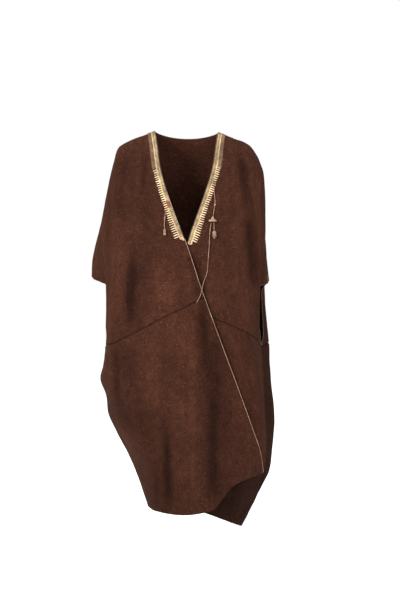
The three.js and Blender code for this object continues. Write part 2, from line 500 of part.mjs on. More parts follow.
// A cord takes the foremost face that it or the half step to either neighbour passes over.
const laid = (rows, d) => rows.map((r, i) => {
  let y = 0;
  for (const q of [rows[i - 1] ?? r, rows[i + 1] ?? r]) for (const k of [0, 0.17, 0.34, 0.5]) {
    y = Math.min(y, frontOf(r.x + (q.x - r.x) * k, r.z + (q.z - r.z) * k, d / 2 + 0.3));
  }
  return [r.x, y - d / 2 - r.off, r.z];
});
piece('tie_right', tube(laid(TIE_RIGHT, TIE_CORD), TIE_CORD), CORD);
piece('tie_left_top', tube(laid(TIE_TOP, TIE_CORD), TIE_CORD), CORD);
piece('tie_left_short', tube(laid(TIE_SHORT, TIE_CORD), TIE_CORD), CORD);
piece('tie_left_long', tube(laid(TIE_LONG, TIE_CORD), TIE_CORD), CORD);

// Knots, bead and tassel are turned bodies on an upright axis at a cord's end.
const KNOTS = [
  { name: 'tie_right_knot', x: -72, z: -372.5, profile: table(['r', 'h'], [[0, 11.5], [2.6, 10], [4.6, 6], [4.2, 0], [4.8, -6], [3.4, -11], [0, -12]]) },
  { name: 'tie_left_bead', x: 95.5, z: -327.5, profile: table(['r', 'h'], [[0, 9.5], [2.4, 9], [3.6, 4], [6, 0], [12.5, -3], [13, -7.5], [9, -9], [0, -9]]) },
  { name: 'tie_left_tassel', x: 101, z: -383, profile: table(['r', 'h'], [[0, 14.2], [4.5, 13], [6.8, 8], [6.6, 0], [7.2, -5], [4, -7], [2.2, -12], [0, -13]]) },
];
for (const k of KNOTS) {
  const geometry = new THREE.LatheGeometry(k.profile.map(r => new THREE.Vector2(r.r, r.h)).reverse(), 12);
  const wide = Math.max(...k.profile.map(r => r.r)), tall = Math.max(...k.profile.map(r => Math.abs(r.h)));
  geometry.rotateX(Math.PI / 2);
  geometry.scale(1, 0.7, 1);
  let y = 0;
  for (const dz of [-tall, 0, tall]) for (const dx of [-wide, 0, wide]) y = Math.min(y, frontOf(k.x + dx, k.z + dz, 1));
  const mesh = piece(k.name, geometry, CORD);
  mesh.position.set(k.x, y - wide * 0.7 - 0.5, k.z);
}

export default group;
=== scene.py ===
"""An aba cloak: looks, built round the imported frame. Metres, +Z up, the wearer faces -Y."""

import math

import bpy
import numpy as np
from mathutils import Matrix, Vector


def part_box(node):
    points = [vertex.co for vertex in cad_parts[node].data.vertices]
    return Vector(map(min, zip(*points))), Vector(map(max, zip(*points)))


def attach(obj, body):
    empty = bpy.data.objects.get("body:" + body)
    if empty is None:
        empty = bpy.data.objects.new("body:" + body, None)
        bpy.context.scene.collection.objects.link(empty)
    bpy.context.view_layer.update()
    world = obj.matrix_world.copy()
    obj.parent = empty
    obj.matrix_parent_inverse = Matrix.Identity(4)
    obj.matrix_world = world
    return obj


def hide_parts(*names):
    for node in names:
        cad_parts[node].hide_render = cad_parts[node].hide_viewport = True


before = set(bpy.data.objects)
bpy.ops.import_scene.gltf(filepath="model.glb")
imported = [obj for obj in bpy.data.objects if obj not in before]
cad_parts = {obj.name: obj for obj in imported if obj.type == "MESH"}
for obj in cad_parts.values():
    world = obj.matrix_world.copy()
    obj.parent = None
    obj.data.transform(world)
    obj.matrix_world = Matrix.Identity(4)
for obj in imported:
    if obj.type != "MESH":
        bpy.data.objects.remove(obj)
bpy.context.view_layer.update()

MM = 0.001
WALL = 2.0
CLOTH_DROP = 1317.0
NECK_HALF, NECK_BACK_DEPTH, NECK_NAPE_DROP = 117.0, 74.0, 12.0
V_END = {"right": 0.331, "left": 0.347}
BRAID_WIDTH = 25.0
EDGE_CORD, SLIT_CORD, TIE_CORD = 2.6, 3.0, 2.5

# ------------------------------------------------------------------ camera
CAMERA_X, CAMERA_Z, CAMERA_Y = 0.0511, -0.6096, -2.8
cam_data = bpy.data.cameras.new("camera")
cam = bpy.data.objects.new("camera", cam_data)
bpy.context.scene.collection.objects.link(cam)
cam.location = (CAMERA_X, CAMERA_Y, CAMERA_Z)
cam.rotation_euler = (math.radians(90), 0, 0)
cam_data.sensor_fit = "VERTICAL"
cam_data.sensor_height = 36
cam_data.lens = 46.0
cam_data.clip_end = 50
bpy.context.scene.camera = cam


# ------------------------------------------------------------------ tables, in mm, as in the solid model
def section(rows):
    return np.array(rows, float)


RIGHT = {
    "edge": section([
        [0, -115, -2, 7], [0.03, -110, -32, -9], [0.06, -104, -54, -44], [0.14, -88, -86, -150],
        [0.20, -65, -101, -233], [0.26, -38, -115, -310], [0.335, -4, -126, -397], [0.40, 24, -134, -478],
        [0.462, 49, -138, -556], [0.5, 65, -139, -601], [0.56, 91, -139, -672], [0.62, 119, -137, -748],
        [0.75, 179, -129, -909], [0.88, 237, -104, -1070], [0.94, 263, -84, -1146], [1, 277, -60, -1228]]),
    "chest": section([
        [0, -187, 3, -20], [0.03, -184, -30, -32], [0.06, -180, -52, -66], [0.14, -167, -90, -168],
        [0.26, -145, -116, -335], [0.38, -120, -131, -505], [0.5, -92, -139, -680], [0.62, -38, -143, -815],
        [0.75, 28, -146, -965], [0.88, 95, -142, -1112], [1, 165, -126, -1245]]),
    "tip": section([
        [0, -251, 6, -66], [0.03, -254, -24, -78], [0.06, -254, -44, -104], [0.14, -251, -72, -190],
        [0.26, -247, -88, -360], [0.38, -244, -98, -545], [0.5, -243, -104, -757], [0.62, -180, -118, -888],
        [0.75, -100, -129, -1035], [0.88, -10, -134, -1185], [1, 88, -128, -1338]]),
    "sleeve": section([
        [0, -298, 4, -286], [0.03, -299, -24, -290], [0.06, -298, -42, -302], [0.14, -292, -62, -352],
        [0.26, -284, -72, -458], [0.38, -279, -70, -602], [0.5, -278, -64, -768], [0.62, -265, -72, -908],
        [0.75, -203, -92, -1060], [0.88, -113, -108, -1208], [1, -25, -118, -1354]]),
    "side": section([
        [0, -344, 0, -525], [0.06, -331, -14, -533], [0.14, -304, -29, -544], [0.2, -286, -38, -556],
        [0.26, -285, -40, -606], [0.38, -288, -32, -690], [0.5, -291, -12, -776], [0.56, -303, -6, -850],
        [0.60, -315, -1, -898], [0.645, -294, 2, -956], [0.70, -284, 4, -1029], [0.76, -255, 4, -1090],
        [0.82, -220, 6, -1155], [0.90, -180, 8, -1245], [0.95, -159, 8, -1306], [1, -141, 10, -1362]]),
}
LEFT = {
    "edge": section([
        [0, 119, -2, 2], [0.03, 115, -32, -12], [0.06, 110, -54, -46], [0.14, 94, -86, -150],
        [0.20, 69, -101, -233], [0.26, 42, -113, -310], [0.335, 14, -122, -392], [0.40, -7, -124, -476],
        [0.5, -31, -126, -630], [0.62, -48, -127, -790], [0.75, -62, -122, -958], [0.88, -76, -106, -1126],
        [1, -90, -80, -1290]]),
    "chest": section([
        [0, 186, 3, -24], [0.03, 185, -30, -36], [0.06, 182, -52, -68], [0.14, 174, -88, -170],
        [0.26, 156, -112, -335], [0.38, 131, -126, -504], [0.5, 95, -130, -672], [0.62, 76, -130, -826],
        [0.75, 52, -128, -992], [0.88, 24, -120, -1160], [1, -4, -106, -1332]]),
    "tip": section([
        [0, 255, 5, -76], [0.03, 258, -24, -90], [0.06, 258, -42, -114], [0.14, 254, -68, -205],
        [0.26, 244, -84, -373], [0.38, 228, -98, -549], [0.5, 205, -113, -720], [0.62, 195, -115, -876],
        [0.75, 172, -115, -1043], [0.88, 132, -110, -1214], [1, 88, -98, -1367]]),
    "sleeve": section([
        [0, 286, 4, -262], [0.03, 287, -22, -268], [0.06, 286, -38, -284], [0.14, 281, -58, -345],
        [0.26, 270, -66, -458], [0.38, 260, -66, -601], [0.5, 251, -64, -748], [0.62, 260, -68, -902],
        [0.75, 262, -74, -1071], [0.88, 223, -76, -1247], [1, 148, -74, -1396]]),
    "side": section([
        [0, 303, 0, -540], [0.06, 293, -12, -547], [0.14, 274, -27, -554], [0.2, 259, -38, -562],
        [0.26, 259, -40, -610], [0.38, 264, -32, -692], [0.5, 273, -12, -780], [0.6, 280, -8, -901],
        [0.71, 291, -5, -1046], [0.77, 298, -3, -1119], [0.85, 306, -2, -1226], [0.90, 276, -8, -1290],
        [0.95, 241, -14, -1361], [1, 204, -18, -1431]]),
}
SLIT_BACK_RIGHT = section([
    [0, -344, 0, -525], [0.06, -334, 15, -531], [0.14, -311, 31, -542], [0.2, -290, 41, -556],
    [0.26, -285, 42, -606], [0.38, -286, 26, -690], [0.46, -290, 2, -748]])
SLIT_BACK_LEFT = section([
    [0, 303, 0, -540], [0.06, 298, 14, -546], [0.14, 288, 28, -556], [0.2, 280, 38, -572],
    [0.26, 281, 38, -612], [0.38, 284, 22, -692], [0.46, 281, -2, -752]])
BACK = {
    "rightSleeve": section([
        [0, -298, 4, -286], [0.03, -301, 30, -290], [0.06, -302, 48, -302], [0.14, -300, 64, -352],
        [0.26, -294, 70, -460], [0.38, -290, 66, -605], [0.5, -288, 58, -764], [0.62, -296, 62, -912],
        [0.75, -260, 66, -1066], [0.88, -196, 70, -1215], [1, -138, 66, -1367]]),
    "rightTip": section([
        [0, -251, 6, -66], [0.03, -254, 36, -78], [0.06, -254, 54, -102], [0.14, -252, 76, -192],
        [0.26, -248, 86, -365], [0.38, -244, 92, -550], [0.5, -240, 94, -742], [0.62, -240, 98, -893],
        [0.75, -214, 102, -1046], [0.88, -166, 104, -1200], [1, -114, 100, -1366]]),
    "rightBlade": section([
        [0, -187, 3, -20], [0.03, -185, 36, -32], [0.06, -184, 60, -62], [0.14, -178, 90, -165],
        [0.26, -172, 106, -335], [0.38, -168, 114, -518], [0.5, -166, 117, -700], [0.62, -160, 120, -850],
        [0.75, -140, 122, -1010], [0.88, -112, 124, -1178], [1, -78, 122, -1359]]),
    "rightNeck": section([
        [0, -115, -2, 7], [0.03, -113, 32, -10], [0.06, -111, 60, -42], [0.14, -106, 94, -145],
        [0.26, -100, 113, -312], [0.38, -98, 120, -492], [0.5, -96, 123, -676], [0.62, -90, 126, -835],
        [0.75, -74, 128, -1002], [0.88, -54, 130, -1176], [1, -34, 128, -1355]]),
    "centre": section([
        [0, 2, 72, -8], [0.03, 2, 85, -44], [0.06, 2, 94, -82], [0.14, 2, 108, -186],
        [0.26, 2, 116, -346], [0.38, 2, 120, -506], [0.5, 3, 122, -670], [0.62, 6, 125, -828],
        [0.75, 12, 127, -998], [0.88, 18, 129, -1174], [1, 26, 128, -1352]]),
    "leftNeck": section([
        [0, 119, -2, 2], [0.03, 118, 32, -14], [0.06, 116, 58, -44], [0.14, 110, 94, -146],
        [0.26, 106, 113, -312], [0.38, 102, 120, -492], [0.5, 100, 122, -676], [0.62, 104, 125, -838],
        [0.75, 104, 128, -1008], [0.88, 98, 129, -1182], [1, 86, 127, -1359]]),
    "leftBlade": section([
        [0, 186, 3, -24], [0.03, 185, 36, -36], [0.06, 184, 60, -66], [0.14, 180, 90, -168],
        [0.26, 176, 106, -338], [0.38, 173, 113, -518], [0.5, 172, 115, -700], [0.62, 178, 118, -858],
        [0.75, 182, 121, -1026], [0.88, 168, 122, -1198], [1, 138, 118, -1371]]),
    "leftTip": section([
        [0, 255, 5, -76], [0.03, 259, 34, -90], [0.06, 260, 52, -112], [0.14, 258, 74, -205],
        [0.26, 254, 86, -375], [0.38, 250, 90, -555], [0.5, 248, 90, -742], [0.62, 258, 96, -892],
        [0.75, 264, 98, -1054], [0.88, 240, 98, -1226], [1, 180, 92, -1389]]),
    "leftSleeve": section([
        [0, 286, 4, -262], [0.03, 288, 30, -268], [0.06, 289, 46, -284], [0.14, 290, 64, -345],
        [0.26, 289, 70, -464], [0.38, 293, 64, -610], [0.5, 306, 54, -766], [0.62, 315, 52, -912],
        [0.75, 326, 50, -1078], [0.88, 291, 48, -1250], [1, 206, 42, -1413]]),
}
SHOULDER_RIGHT = section([
    [0, -115, -2, 7], [0.12, -151, 1, -8], [0.25, -187, 3, -20], [0.33, -210, 4, -30], [0.42, -234, 5, -43],
    [0.47, -246, 6, -53], [0.5, -251, 6, -66], [0.54, -256, 6, -95], [0.6, -267, 6, -148], [0.7, -286, 5, -238],
    [0.8, -310, 4, -332], [0.9, -334, 2, -425], [0.95, -342, 1, -470], [1, -344, 0, -525]])
SHOULDER_LEFT = section([
    [0, 119, -2, 2], [0.12, 152, 1, -12], [0.25, 186, 3, -24], [0.35, 212, 4, -33], [0.43, 236, 5, -49],
    [0.5, 255, 5, -76], [0.57, 270, 5, -110], [0.64, 282, 5, -150], [0.7, 286, 5, -200], [0.75, 286, 4, -262],
    [0.85, 287, 3, -370], [0.92, 293, 2, -445], [1, 303, 0, -540]])
HEM_RIGHT = section([
    [0, 277, -60, -1228], [0.10, 230, -98, -1236], [0.25, 168, -122, -1259], [0.38, 133, -128, -1299],
    [0.47, 101, -129, -1340], [0.56, 62, -127, -1352], [0.7, 0, -120, -1362], [0.87, -88, -98, -1358],
    [0.94, -120, -50, -1362], [1, -141, 10, -1362]])
# folds: x1, z1, x2, z2, width, depth (plus is a trough, minus a ridge)
FRONT_FOLDS = section([
    [195, -80, 222, -300, 15, 13],
    [222, -300, 249, -575, 17, 17],
    [196, -150, 200, -520, 20, -5],
    [268, -150, 262, -420, 14, -5],
    [-214, -80, -236, -330, 20, 6],
    [-184, -430, -196, -700, 16, 9],
    [-230, -430, -246, -640, 14, -6],
    [62, -650, 76, -880, 18, 9],
    [98, -880, 96, -1330, 21, 11],
    [30, -690, 34, -1300, 18, -6],
    [-62, -1060, -54, -1340, 16, 8],
    [-246, -760, -238, -980, 15, 6],
    [-112, -690, -98, -980, 20, -5],
    [-220, -860, -150, -1120, 22, -6]])
BACK_FOLDS = section([
    [-196, -170, -176, -1340, 22, 15],
    [-140, -300, -128, -1380, 22, -10],
    [-78, -150, -64, -1380, 24, 17],
    [-20, -330, -6, -1380, 24, -10],
    [48, -120, 44, -1380, 24, 16],
    [98, -420, 92, -1380, 22, -9],
    [150, -170, 122, -1380, 24, 18],
    [206, -260, 196, -1200, 20, -8],
    [232, -420, 214, -1240, 18, 11],
    [-232, -330, -214, -1100, 18, 9]])
# finer creases that only the looks carry
FRONT_CREASES = section([
    [-138, -66, -146, -250, 10, 4.5], [-160, -110, -178, -330, 9, -2.2], [-128, -260, -150, -470, 11, -2.0],
    [-176, -330, -184, -470, 10, 2.4], [-176, -430, -186, -700, 13, 4.5], [-150, -480, -156, -690, 10, -2.2],
    [204, -90, 250, -330, 8, 5.0], [150, -60, 168, -300, 9, 2.4], [128, -190, 142, -480, 11, 2.2], [176, -330, 184, -560, 9, -2.4],
    [250, -310, 262, -500, 9, 4.5], [214, -420, 222, -640, 8, -2.2],
    [-262, -180, -276, -420, 9, 3.0], [-304, -330, -318, -500, 7, 2.4], [-104, -480, -112, -640, 12, 2.0],
    [-20, -470, -8, -640, 12, 2.4], [30, -430, 74, -580, 11, 4.5], [-190, -760, -176, -900, 11, 2.6], [-276, -780, -282, -900, 8, 3.2], [12, -700, 8, -1000, 12, 2.4], [-40, -820, -30, -1180, 13, -2.4], [-66, -1010, -57, -1330, 13, 4.5],
    [-100, -1010, -84, -1250, 11, -2.4], [55, -900, 84, -962, 8, 3.4], [64, -1000, 80, -1090, 7, 3.0],
    [24, -880, 30, -1240, 11, -3.0], [140, -960, 158, -1180, 12, 2.6], [126, -1050, 122, -1230, 10, -2.4],
    [16, -1060, 14, -1340, 10, 2.6], [-16, -1160, -10, -1350, 9, -2.4], [-104, -1210, -92, -1352, 9, 2.4],
    [206, -760, 240, -960, 10, 2.4], [236, -800, 262, -1080, 9, -2.4], [172, -1260, 150, -1390, 9, 3.0],
    [210, -1240, 186, -1390, 9, -2.4], [60, -900, 58, -1180, 10, 2.0], [86, -640, 110, -820, 11, -2.6],
    [-204, -540, -196, -640, 7, 2.0], [-228, -840, -206, -1010, 9, -2.6]])
BACK_CREASES = section([
    [-218, -120, -210, -640, 10, -3.0], [-166, -90, -160, -520, 9, 2.6], [-110, -110, -104, -640, 10, 2.8],
    [-48, -160, -42, -760, 11, -3.0], [14, -200, 16, -800, 10, 2.6], [76, -150, 72, -700, 10, -3.0],
    [122, -110, 118, -620, 10, 2.6], [178, -110, 176, -560, 10, -2.6], [-160, -760, -142, -1350, 11, -3.2],
    [-104, -820, -92, -1352, 11, 3.0], [-34, -760, -26, -1352, 12, 2.8], [24, -900, 28, -1352, 11, -3.0],
    [70, -760, 66, -1352, 11, 3.2], [122, -800, 110, -1352, 11, -2.8], [180, -820, 160, -1352, 11, 3.0],
    [-206, -760, -186, -1180, 10, 3.0]])


# ------------------------------------------------------------------ curves and surfaces
def tangents(ts, vs):
    """Tangents at the knots; vs is (n, ...)."""
    h = np.diff(ts)
    shape = (-1,) + (1,) * (vs.ndim - 1)
    s = np.diff(vs, axis=0) / h.reshape(shape)
    m = np.empty_like(vs)
    m[0], m[-1] = s[0], s[-1]
    if len(ts) > 2:
        h0, h1 = h[:-1].reshape(shape), h[1:].reshape(shape)
        m[1:-1] = (s[:-1] * h1 + s[1:] * h0) / (h0 + h1)
    return m


def hermite(ts, vs, t):
    """vs (n, 3), t (k,) -> (k, 3)"""
    t = np.asarray(t, float)
    m = tangents(ts, vs)
    i = np.clip(np.searchsorted(ts, t, side="right") - 1, 0, len(ts) - 2)
    h = (ts[i + 1] - ts[i])[..., None]
    u = ((t - ts[i]) / (ts[i + 1] - ts[i]))[..., None]
    u2, u3 = u * u, u ** 3
    return ((2 * u3 - 3 * u2 + 1) * vs[i] + (u3 - 2 * u2 + u) * h * m[i]
            + (-2 * u3 + 3 * u2) * vs[i + 1] + (u3 - u2) * h * m[i + 1])


def curve(rows):
    return lambda t: hermite(rows[:, 0], rows[:, 1:4], t)


def smooth(a, b, t):
    u = np.clip((t - a) / (b - a), 0, 1)
    return u * u * (3 - 2 * u)


def across(at, vs, a):
    """vs (lines, rows, 3), a (rows, cols) -> (rows, cols, 3)"""
    m = tangents(at, vs)
    i = np.clip(np.searchsorted(at, a, side="right") - 1, 0, len(at) - 2)
    r = np.arange(a.shape[0])[:, None]
    h = (at[i + 1] - at[i])[..., None]
    u = ((a - at[i]) / (at[i + 1] - at[i]))[..., None]
    u2, u3 = u * u, u ** 3
    return ((2 * u3 - 3 * u2 + 1) * vs[i, r] + (u3 - 2 * u2 + u) * h * m[i, r]
            + (-2 * u3 + 3 * u2) * vs[i + 1, r] + (u3 - u2) * h * m[i + 1, r])


def fold_depth(p, folds):
    depth = np.zeros(p.shape[:-1])
    for x1, z1, x2, z2, width, d in folds:
        dx, dz = x2 - x1, z2 - z1
        l = math.hypot(dx, dz)
        along = ((p[..., 0] - x1) * dx + (p[..., 2] - z1) * dz) / l
        aside = ((p[..., 0] - x1) * dz - (p[..., 2] - z1) * dx) / l
        fade = smooth(-0.05 * l, 0.3 * l, along) * smooth(1.12 * l, 0.75 * l, along)
        depth += d * np.exp(-((aside / width) ** 2)) * fade
    return depth


def surface(lines, at, top, hem, folds, towards, sides, creases=None):
    at = np.array(at)

    def base(a, d):
        vs = np.stack([c(d) for c in lines])
        return across(at, vs, a)

    def point(a, d, fine=True):
        """a (rows, cols), d (rows,)"""
        p = base(a, d)
        zero = np.zeros_like(d)
        top_fix = top(a) - base(a, zero)
        p = p + top_fix * (np.clip(1 - d / 0.16, 0, 1) ** 2)[:, None, None]
        if hem is not None:
            one = np.ones_like(d)
            p = p + (hem(a) - base(a, one)) * smooth(0.84, 1, d)[:, None, None]
        share = smooth(0, 0.06, d)[:, None] * sides(a)
        depth = fold_depth(p, folds) * share
        if fine and creases is not None:
            depth = depth + fold_depth(p, creases) * share
        p = p.copy()
        p[..., 1] += towards * depth
        return p
    return point


FRONT_AT = [0, 0.25, 0.5, 0.75, 1]
BACK_AT = [0, 0.1, 0.2, 0.3, 0.4, 0.5, 0.6, 0.7, 0.8, 0.9, 1]
seam_right, seam_left, hem_right = curve(SHOULDER_RIGHT), curve(SHOULDER_LEFT), curve(HEM_RIGHT)


def front(table, top, hem):
    return surface([curve(table[k]) for k in ("edge", "chest", "tip", "sleeve", "side")], FRONT_AT, top, hem,
                   FRONT_FOLDS, 1, lambda a: smooth(1, 0.86, a), FRONT_CREASES)


front_right = front(RIGHT, seam_right, hem_right)
front_left = front(LEFT, seam_left, None)


def back_top(a):
    out = np.empty(a.shape + (3,))
    low, high = a <= 0.4, a >= 0.6
    mid = ~(low | high)
    out[low] = seam_right(1 - a[low] / 0.4)
    out[high] = seam_left((a[high] - 0.6) / 0.4)
    turn = math.pi * (a[mid] - 0.4) / 0.2
    out[mid] = np.stack([2 - NECK_HALF * np.cos(turn), -2 + NECK_BACK_DEPTH * np.sin(turn),
                         7 - 5 * (a[mid] - 0.4) / 0.2 - NECK_NAPE_DROP * np.sin(turn) ** 2], -1)
    return out


def below(slit, side):
    fold = curve(side)
    edge = curve(np.vstack([slit, side[side[:, 0] == 0.5]]))
    return lambda t: np.where((t >= 0.5)[:, None], fold(t), edge(t))


back = surface(
    [below(SLIT_BACK_RIGHT, RIGHT["side"]), curve(BACK["rightSleeve"]), curve(BACK["rightTip"]),
     curve(BACK["rightBlade"]), curve(BACK["rightNeck"]), curve(BACK["centre"]), curve(BACK["leftNeck"]),
     curve(BACK["leftBlade"]), curve(BACK["leftTip"]), curve(BACK["leftSleeve"]),
     below(SLIT_BACK_LEFT, LEFT["side"])],
    BACK_AT, back_top, None, BACK_FOLDS, -1,
    lambda a: smooth(0, 0.07, a) * smooth(1, 0.93, a), BACK_CREASES)


# ------------------------------------------------------------------ noise
def lattice_noise(seed, u, v, scale_u, scale_v):
    """Smooth noise from -1 to 1 over u, v with the given wavelengths."""
    rng = np.random.default_rng(seed)
    g = rng.uniform(-1, 1, (257, 257))
    x, y = u / scale_u + 1000.0, v / scale_v + 1000.0
    i, j = np.floor(x).astype(int), np.floor(y).astype(int)
    fx, fy = x - i, y - j
    fx, fy = fx * fx * (3 - 2 * fx), fy * fy * (3 - 2 * fy)
    i, j, i1, j1 = i % 257, j % 257, (i + 1) % 257, (j + 1) % 257
    return (g[i, j] * (1 - fx) * (1 - fy) + g[i1, j] * fx * (1 - fy)
            + g[i, j1] * (1 - fx) * fy + g[i1, j1] * fx * fy)


# ------------------------------------------------------------------ meshes
def make_mesh(name, verts, faces, uvs=None, material=None, smooth_shade=True):
    """verts (n, 3) in mm, faces a (k, 4) or (k, 3) array or a list of arrays."""
    parts = faces if isinstance(faces, list) else [faces]
    loops = np.concatenate([f.reshape(-1) for f in parts])
    sizes = np.concatenate([np.full(len(f), f.shape[1]) for f in parts])
    me = bpy.data.meshes.new(name)
    me.vertices.add(len(verts))
    me.vertices.foreach_set("co", (np.asarray(verts, float) * MM).astype(np.float32).reshape(-1))
    me.loops.add(len(loops))
    me.loops.foreach_set("vertex_index", loops.astype(np.int32))
    me.polygons.add(len(sizes))
    starts = np.concatenate([[0], np.cumsum(sizes)[:-1]])
    me.polygons.foreach_set("loop_start", starts.astype(np.int32))
    me.polygons.foreach_set("loop_total", sizes.astype(np.int32))
    if uvs is not None:
        layer = me.uv_layers.new(name="cloth")
        layer.data.foreach_set("uv", np.asarray(uvs, np.float32)[loops].reshape(-1))
    me.update(calc_edges=True)
    me.validate()
    me.polygons.foreach_set("use_smooth", np.full(len(me.polygons), smooth_shade))
    ob = bpy.data.objects.new(name, me)
    bpy.context.scene.collection.objects.link(ob)
    if material:
        me.materials.append(material)
    return ob


def grid_normals(p):
    du = np.gradient(p, axis=1)
    dv = np.gradient(p, axis=0)
    n = np.cross(du, dv)
    return n / np.maximum(np.linalg.norm(n, axis=-1, keepdims=True), 1e-9)


def outward(n, p, sign=None):
    """Turns a grid's normals outward, by its middle part."""
    ref = np.stack([p[..., 0] * 0.9, p[..., 1] * 2.2, np.maximum(0, p[..., 2] + 120) * 1.5 + 1], -1)
    return n if (n * ref).sum() > 0 else -n


def shell(name, p, uv, material, thick=WALL, shade=None):
    """A wall of the given thickness on the grid p (rows, cols, 3), with rounded rims."""
    n = outward(grid_normals(p), p)
    rows, cols = p.shape[:2]
    outer, inner = p + n * thick / 2, p - n * thick / 2
    count = rows * cols
    idx = np.arange(count).reshape(rows, cols)
    q = np.stack([idx[:-1, :-1], idx[1:, :-1], idx[1:, 1:], idx[:-1, 1:]], -1).reshape(-1, 4)
    # which way do the quads face?
    flat = p.reshape(-1, 3)
    a, b, c = flat[q[:, 0]], flat[q[:, 1]], flat[q[:, 3]]
    facing = (np.cross(b - a, c - a) * n.reshape(-1, 3)[q[:, 0]]).sum()
    if facing < 0:
        q = q[:, ::-1]
    verts = [outer.reshape(-1, 3), inner.reshape(-1, 3)]
    uvs = [uv.reshape(-1, 2), uv.reshape(-1, 2)]
    faces = [q, (q + count)[:, ::-1]]
    # the rim, in order round the grid
    ring = np.concatenate([idx[0, :-1], idx[:-1, -1], idx[-1, :0:-1], idx[:0:-1, 0]])
    prv, nxt = np.roll(ring, 1), np.roll(ring, -1)
    edge = flat[nxt] - flat[prv]
    side = np.cross(edge, n.reshape(-1, 3)[ring])
    side /= np.maximum(np.linalg.norm(side, axis=1, keepdims=True), 1e-9)
    inside = np.concatenate([idx[1, :-1], idx[:-1, -2], idx[-2, :0:-1], idx[:0:-1, 1]])
    sign = np.sign(((flat[ring] - flat[inside]) * side).sum(1, keepdims=True))
    mid = flat[ring] + side * sign * thick * 0.38
    verts.append(mid)
    uvs.append(uv.reshape(-1, 2)[ring])
    k = np.arange(len(ring))
    k1 = np.roll(k, -1)
    m0, m1 = 2 * count + k, 2 * count + k1
    rim1 = np.stack([ring, m0, m1, np.roll(ring, -1)], -1)
    rim2 = np.stack([m0, ring + count, np.roll(ring, -1) + count, m1], -1)
    # orient the rim with the first quad it meets
    v = np.concatenate(verts)
    fn = np.cross(v[rim1[:, 1]] - v[rim1[:, 0]], v[rim1[:, 3]] - v[rim1[:, 0]])
    out = v[m0] - v[inside]
    if (fn * out).sum() < 0:
        rim1, rim2 = rim1[:, ::-1], rim2[:, ::-1]
    faces += [rim1, rim2]
    ob = make_mesh(name, v, faces, np.concatenate(uvs), material)
    if shade is not None:
        flat_shade = shade.reshape(-1)
        values = np.concatenate([flat_shade, flat_shade, flat_shade[ring]])
        layer = ob.data.attributes.new("shade", "FLOAT", "POINT")
        layer.data.foreach_set("value", values.astype(np.float32))
    return ob


def tube_mesh(points, radius, sides=8, closed_ends=True, twist=0.0, radii=None):
    """verts, faces of a tube along points (n, 3)."""
    pts = np.asarray(points, float)
    n = len(pts)
    t = np.gradient(pts, axis=0)
    t /= np.maximum(np.linalg.norm(t, axis=1, keepdims=True), 1e-9)
    ref = np.array([0, 0, 1.0]) if abs(t[0, 2]) < 0.9 else np.array([1.0, 0, 0])
    u = np.cross(t[0], ref)
    u /= np.linalg.norm(u)
    us = np.empty_like(pts)
    for i in range(n):
        u = u - t[i] * (u @ t[i])
        u /= np.linalg.norm(u)
        us[i] = u
    ws = np.cross(t, us)
    ang = 2 * np.pi * np.arange(sides) / sides
    r = np.full(n, radius) if radii is None else np.asarray(radii, float)
    v = pts[:, None] + r[:, None, None] * (us[:, None] * np.cos(ang)[None, :, None] + ws[:, None] * np.sin(ang)[None, :, None])
    idx = np.arange(n * sides).reshape(n, sides)
    nx = np.roll(idx, -1, axis=1)
    f = np.stack([idx[:-1], nx[:-1], nx[1:], idx[1:]], -1).reshape(-1, 4)
    verts = v.reshape(-1, 3)
    ends = np.array([pts[0], pts[-1]])
    verts = np.concatenate([verts, ends])
    c0, c1 = n * sides, n * sides + 1
    tri0 = np.stack([np.full(sides, c0), nx[0], idx[0]], -1)
    tri1 = np.stack([np.full(sides, c1), idx[-1], nx[-1]], -1)
    return verts, [f, np.concatenate([tri0, tri1])]


def join_parts(parts):
    """parts: [(verts, [faces...])]; all faces arrays regrouped by size."""
    verts, by = [], {}
    base = 0
    for v, fs in parts:
        verts.append(v)
        for f in fs:
            by.setdefault(f.shape[1], []).append(f + base)
        base += len(v)
    return np.concatenate(verts), [np.concatenate(x) for x in by.values()]


def resample(points, step):
    pts = np.asarray(points, float)
    seg = np.linalg.norm(np.diff(pts, axis=0), axis=1)
    s = np.concatenate([[0], np.cumsum(seg)])
    # smooth through the points
    n = max(3, int(round(s[-1] / step)))
    t = np.linspace(0, s[-1], n + 1)
    return hermite(s, pts, t)


def ply_cord(points, diameter, plies=2, lay=None, sides=7, step=1.0):
    """A cord of twisted plies along points: parts for join_parts, and its centreline."""
    lay = lay or diameter * 2.6
    line = resample(points, step)
    t = np.gradient(line, axis=0)
    t /= np.linalg.norm(t, axis=1, keepdims=True)
    ref = np.array([0, 0, 1.0]) if abs(t[0, 2]) < 0.9 else np.array([1.0, 0, 0])
    u = np.cross(t[0], ref)
    us = np.empty_like(line)
    for i in range(len(line)):
        u = u - t[i] * (u @ t[i])
        u /= np.linalg.norm(u)
        us[i] = u
    ws = np.cross(t, us)
    s = np.concatenate([[0], np.cumsum(np.linalg.norm(np.diff(line, axis=0), axis=1))])
    r_ply = diameter * 0.27
    off = diameter / 2 - r_ply
    parts = []
    for k in range(plies):
        a = 2 * np.pi * (s / lay + k / plies)
        centre = line + off * (us * np.cos(a)[:, None] + ws * np.sin(a)[:, None])
        parts.append(tube_mesh(centre, r_ply, sides))
    return parts, line


# ------------------------------------------------------------------ materials
def new_material(name):
    m = bpy.data.materials.new(name)
    m.use_nodes = True
    nt = m.node_tree
    nt.nodes.clear()
    out = nt.nodes.new("ShaderNodeOutputMaterial")
    bsdf = nt.nodes.new("ShaderNodeBsdfPrincipled")
    nt.links.new(bsdf.outputs[0], out.inputs[0])
    return m, nt, bsdf


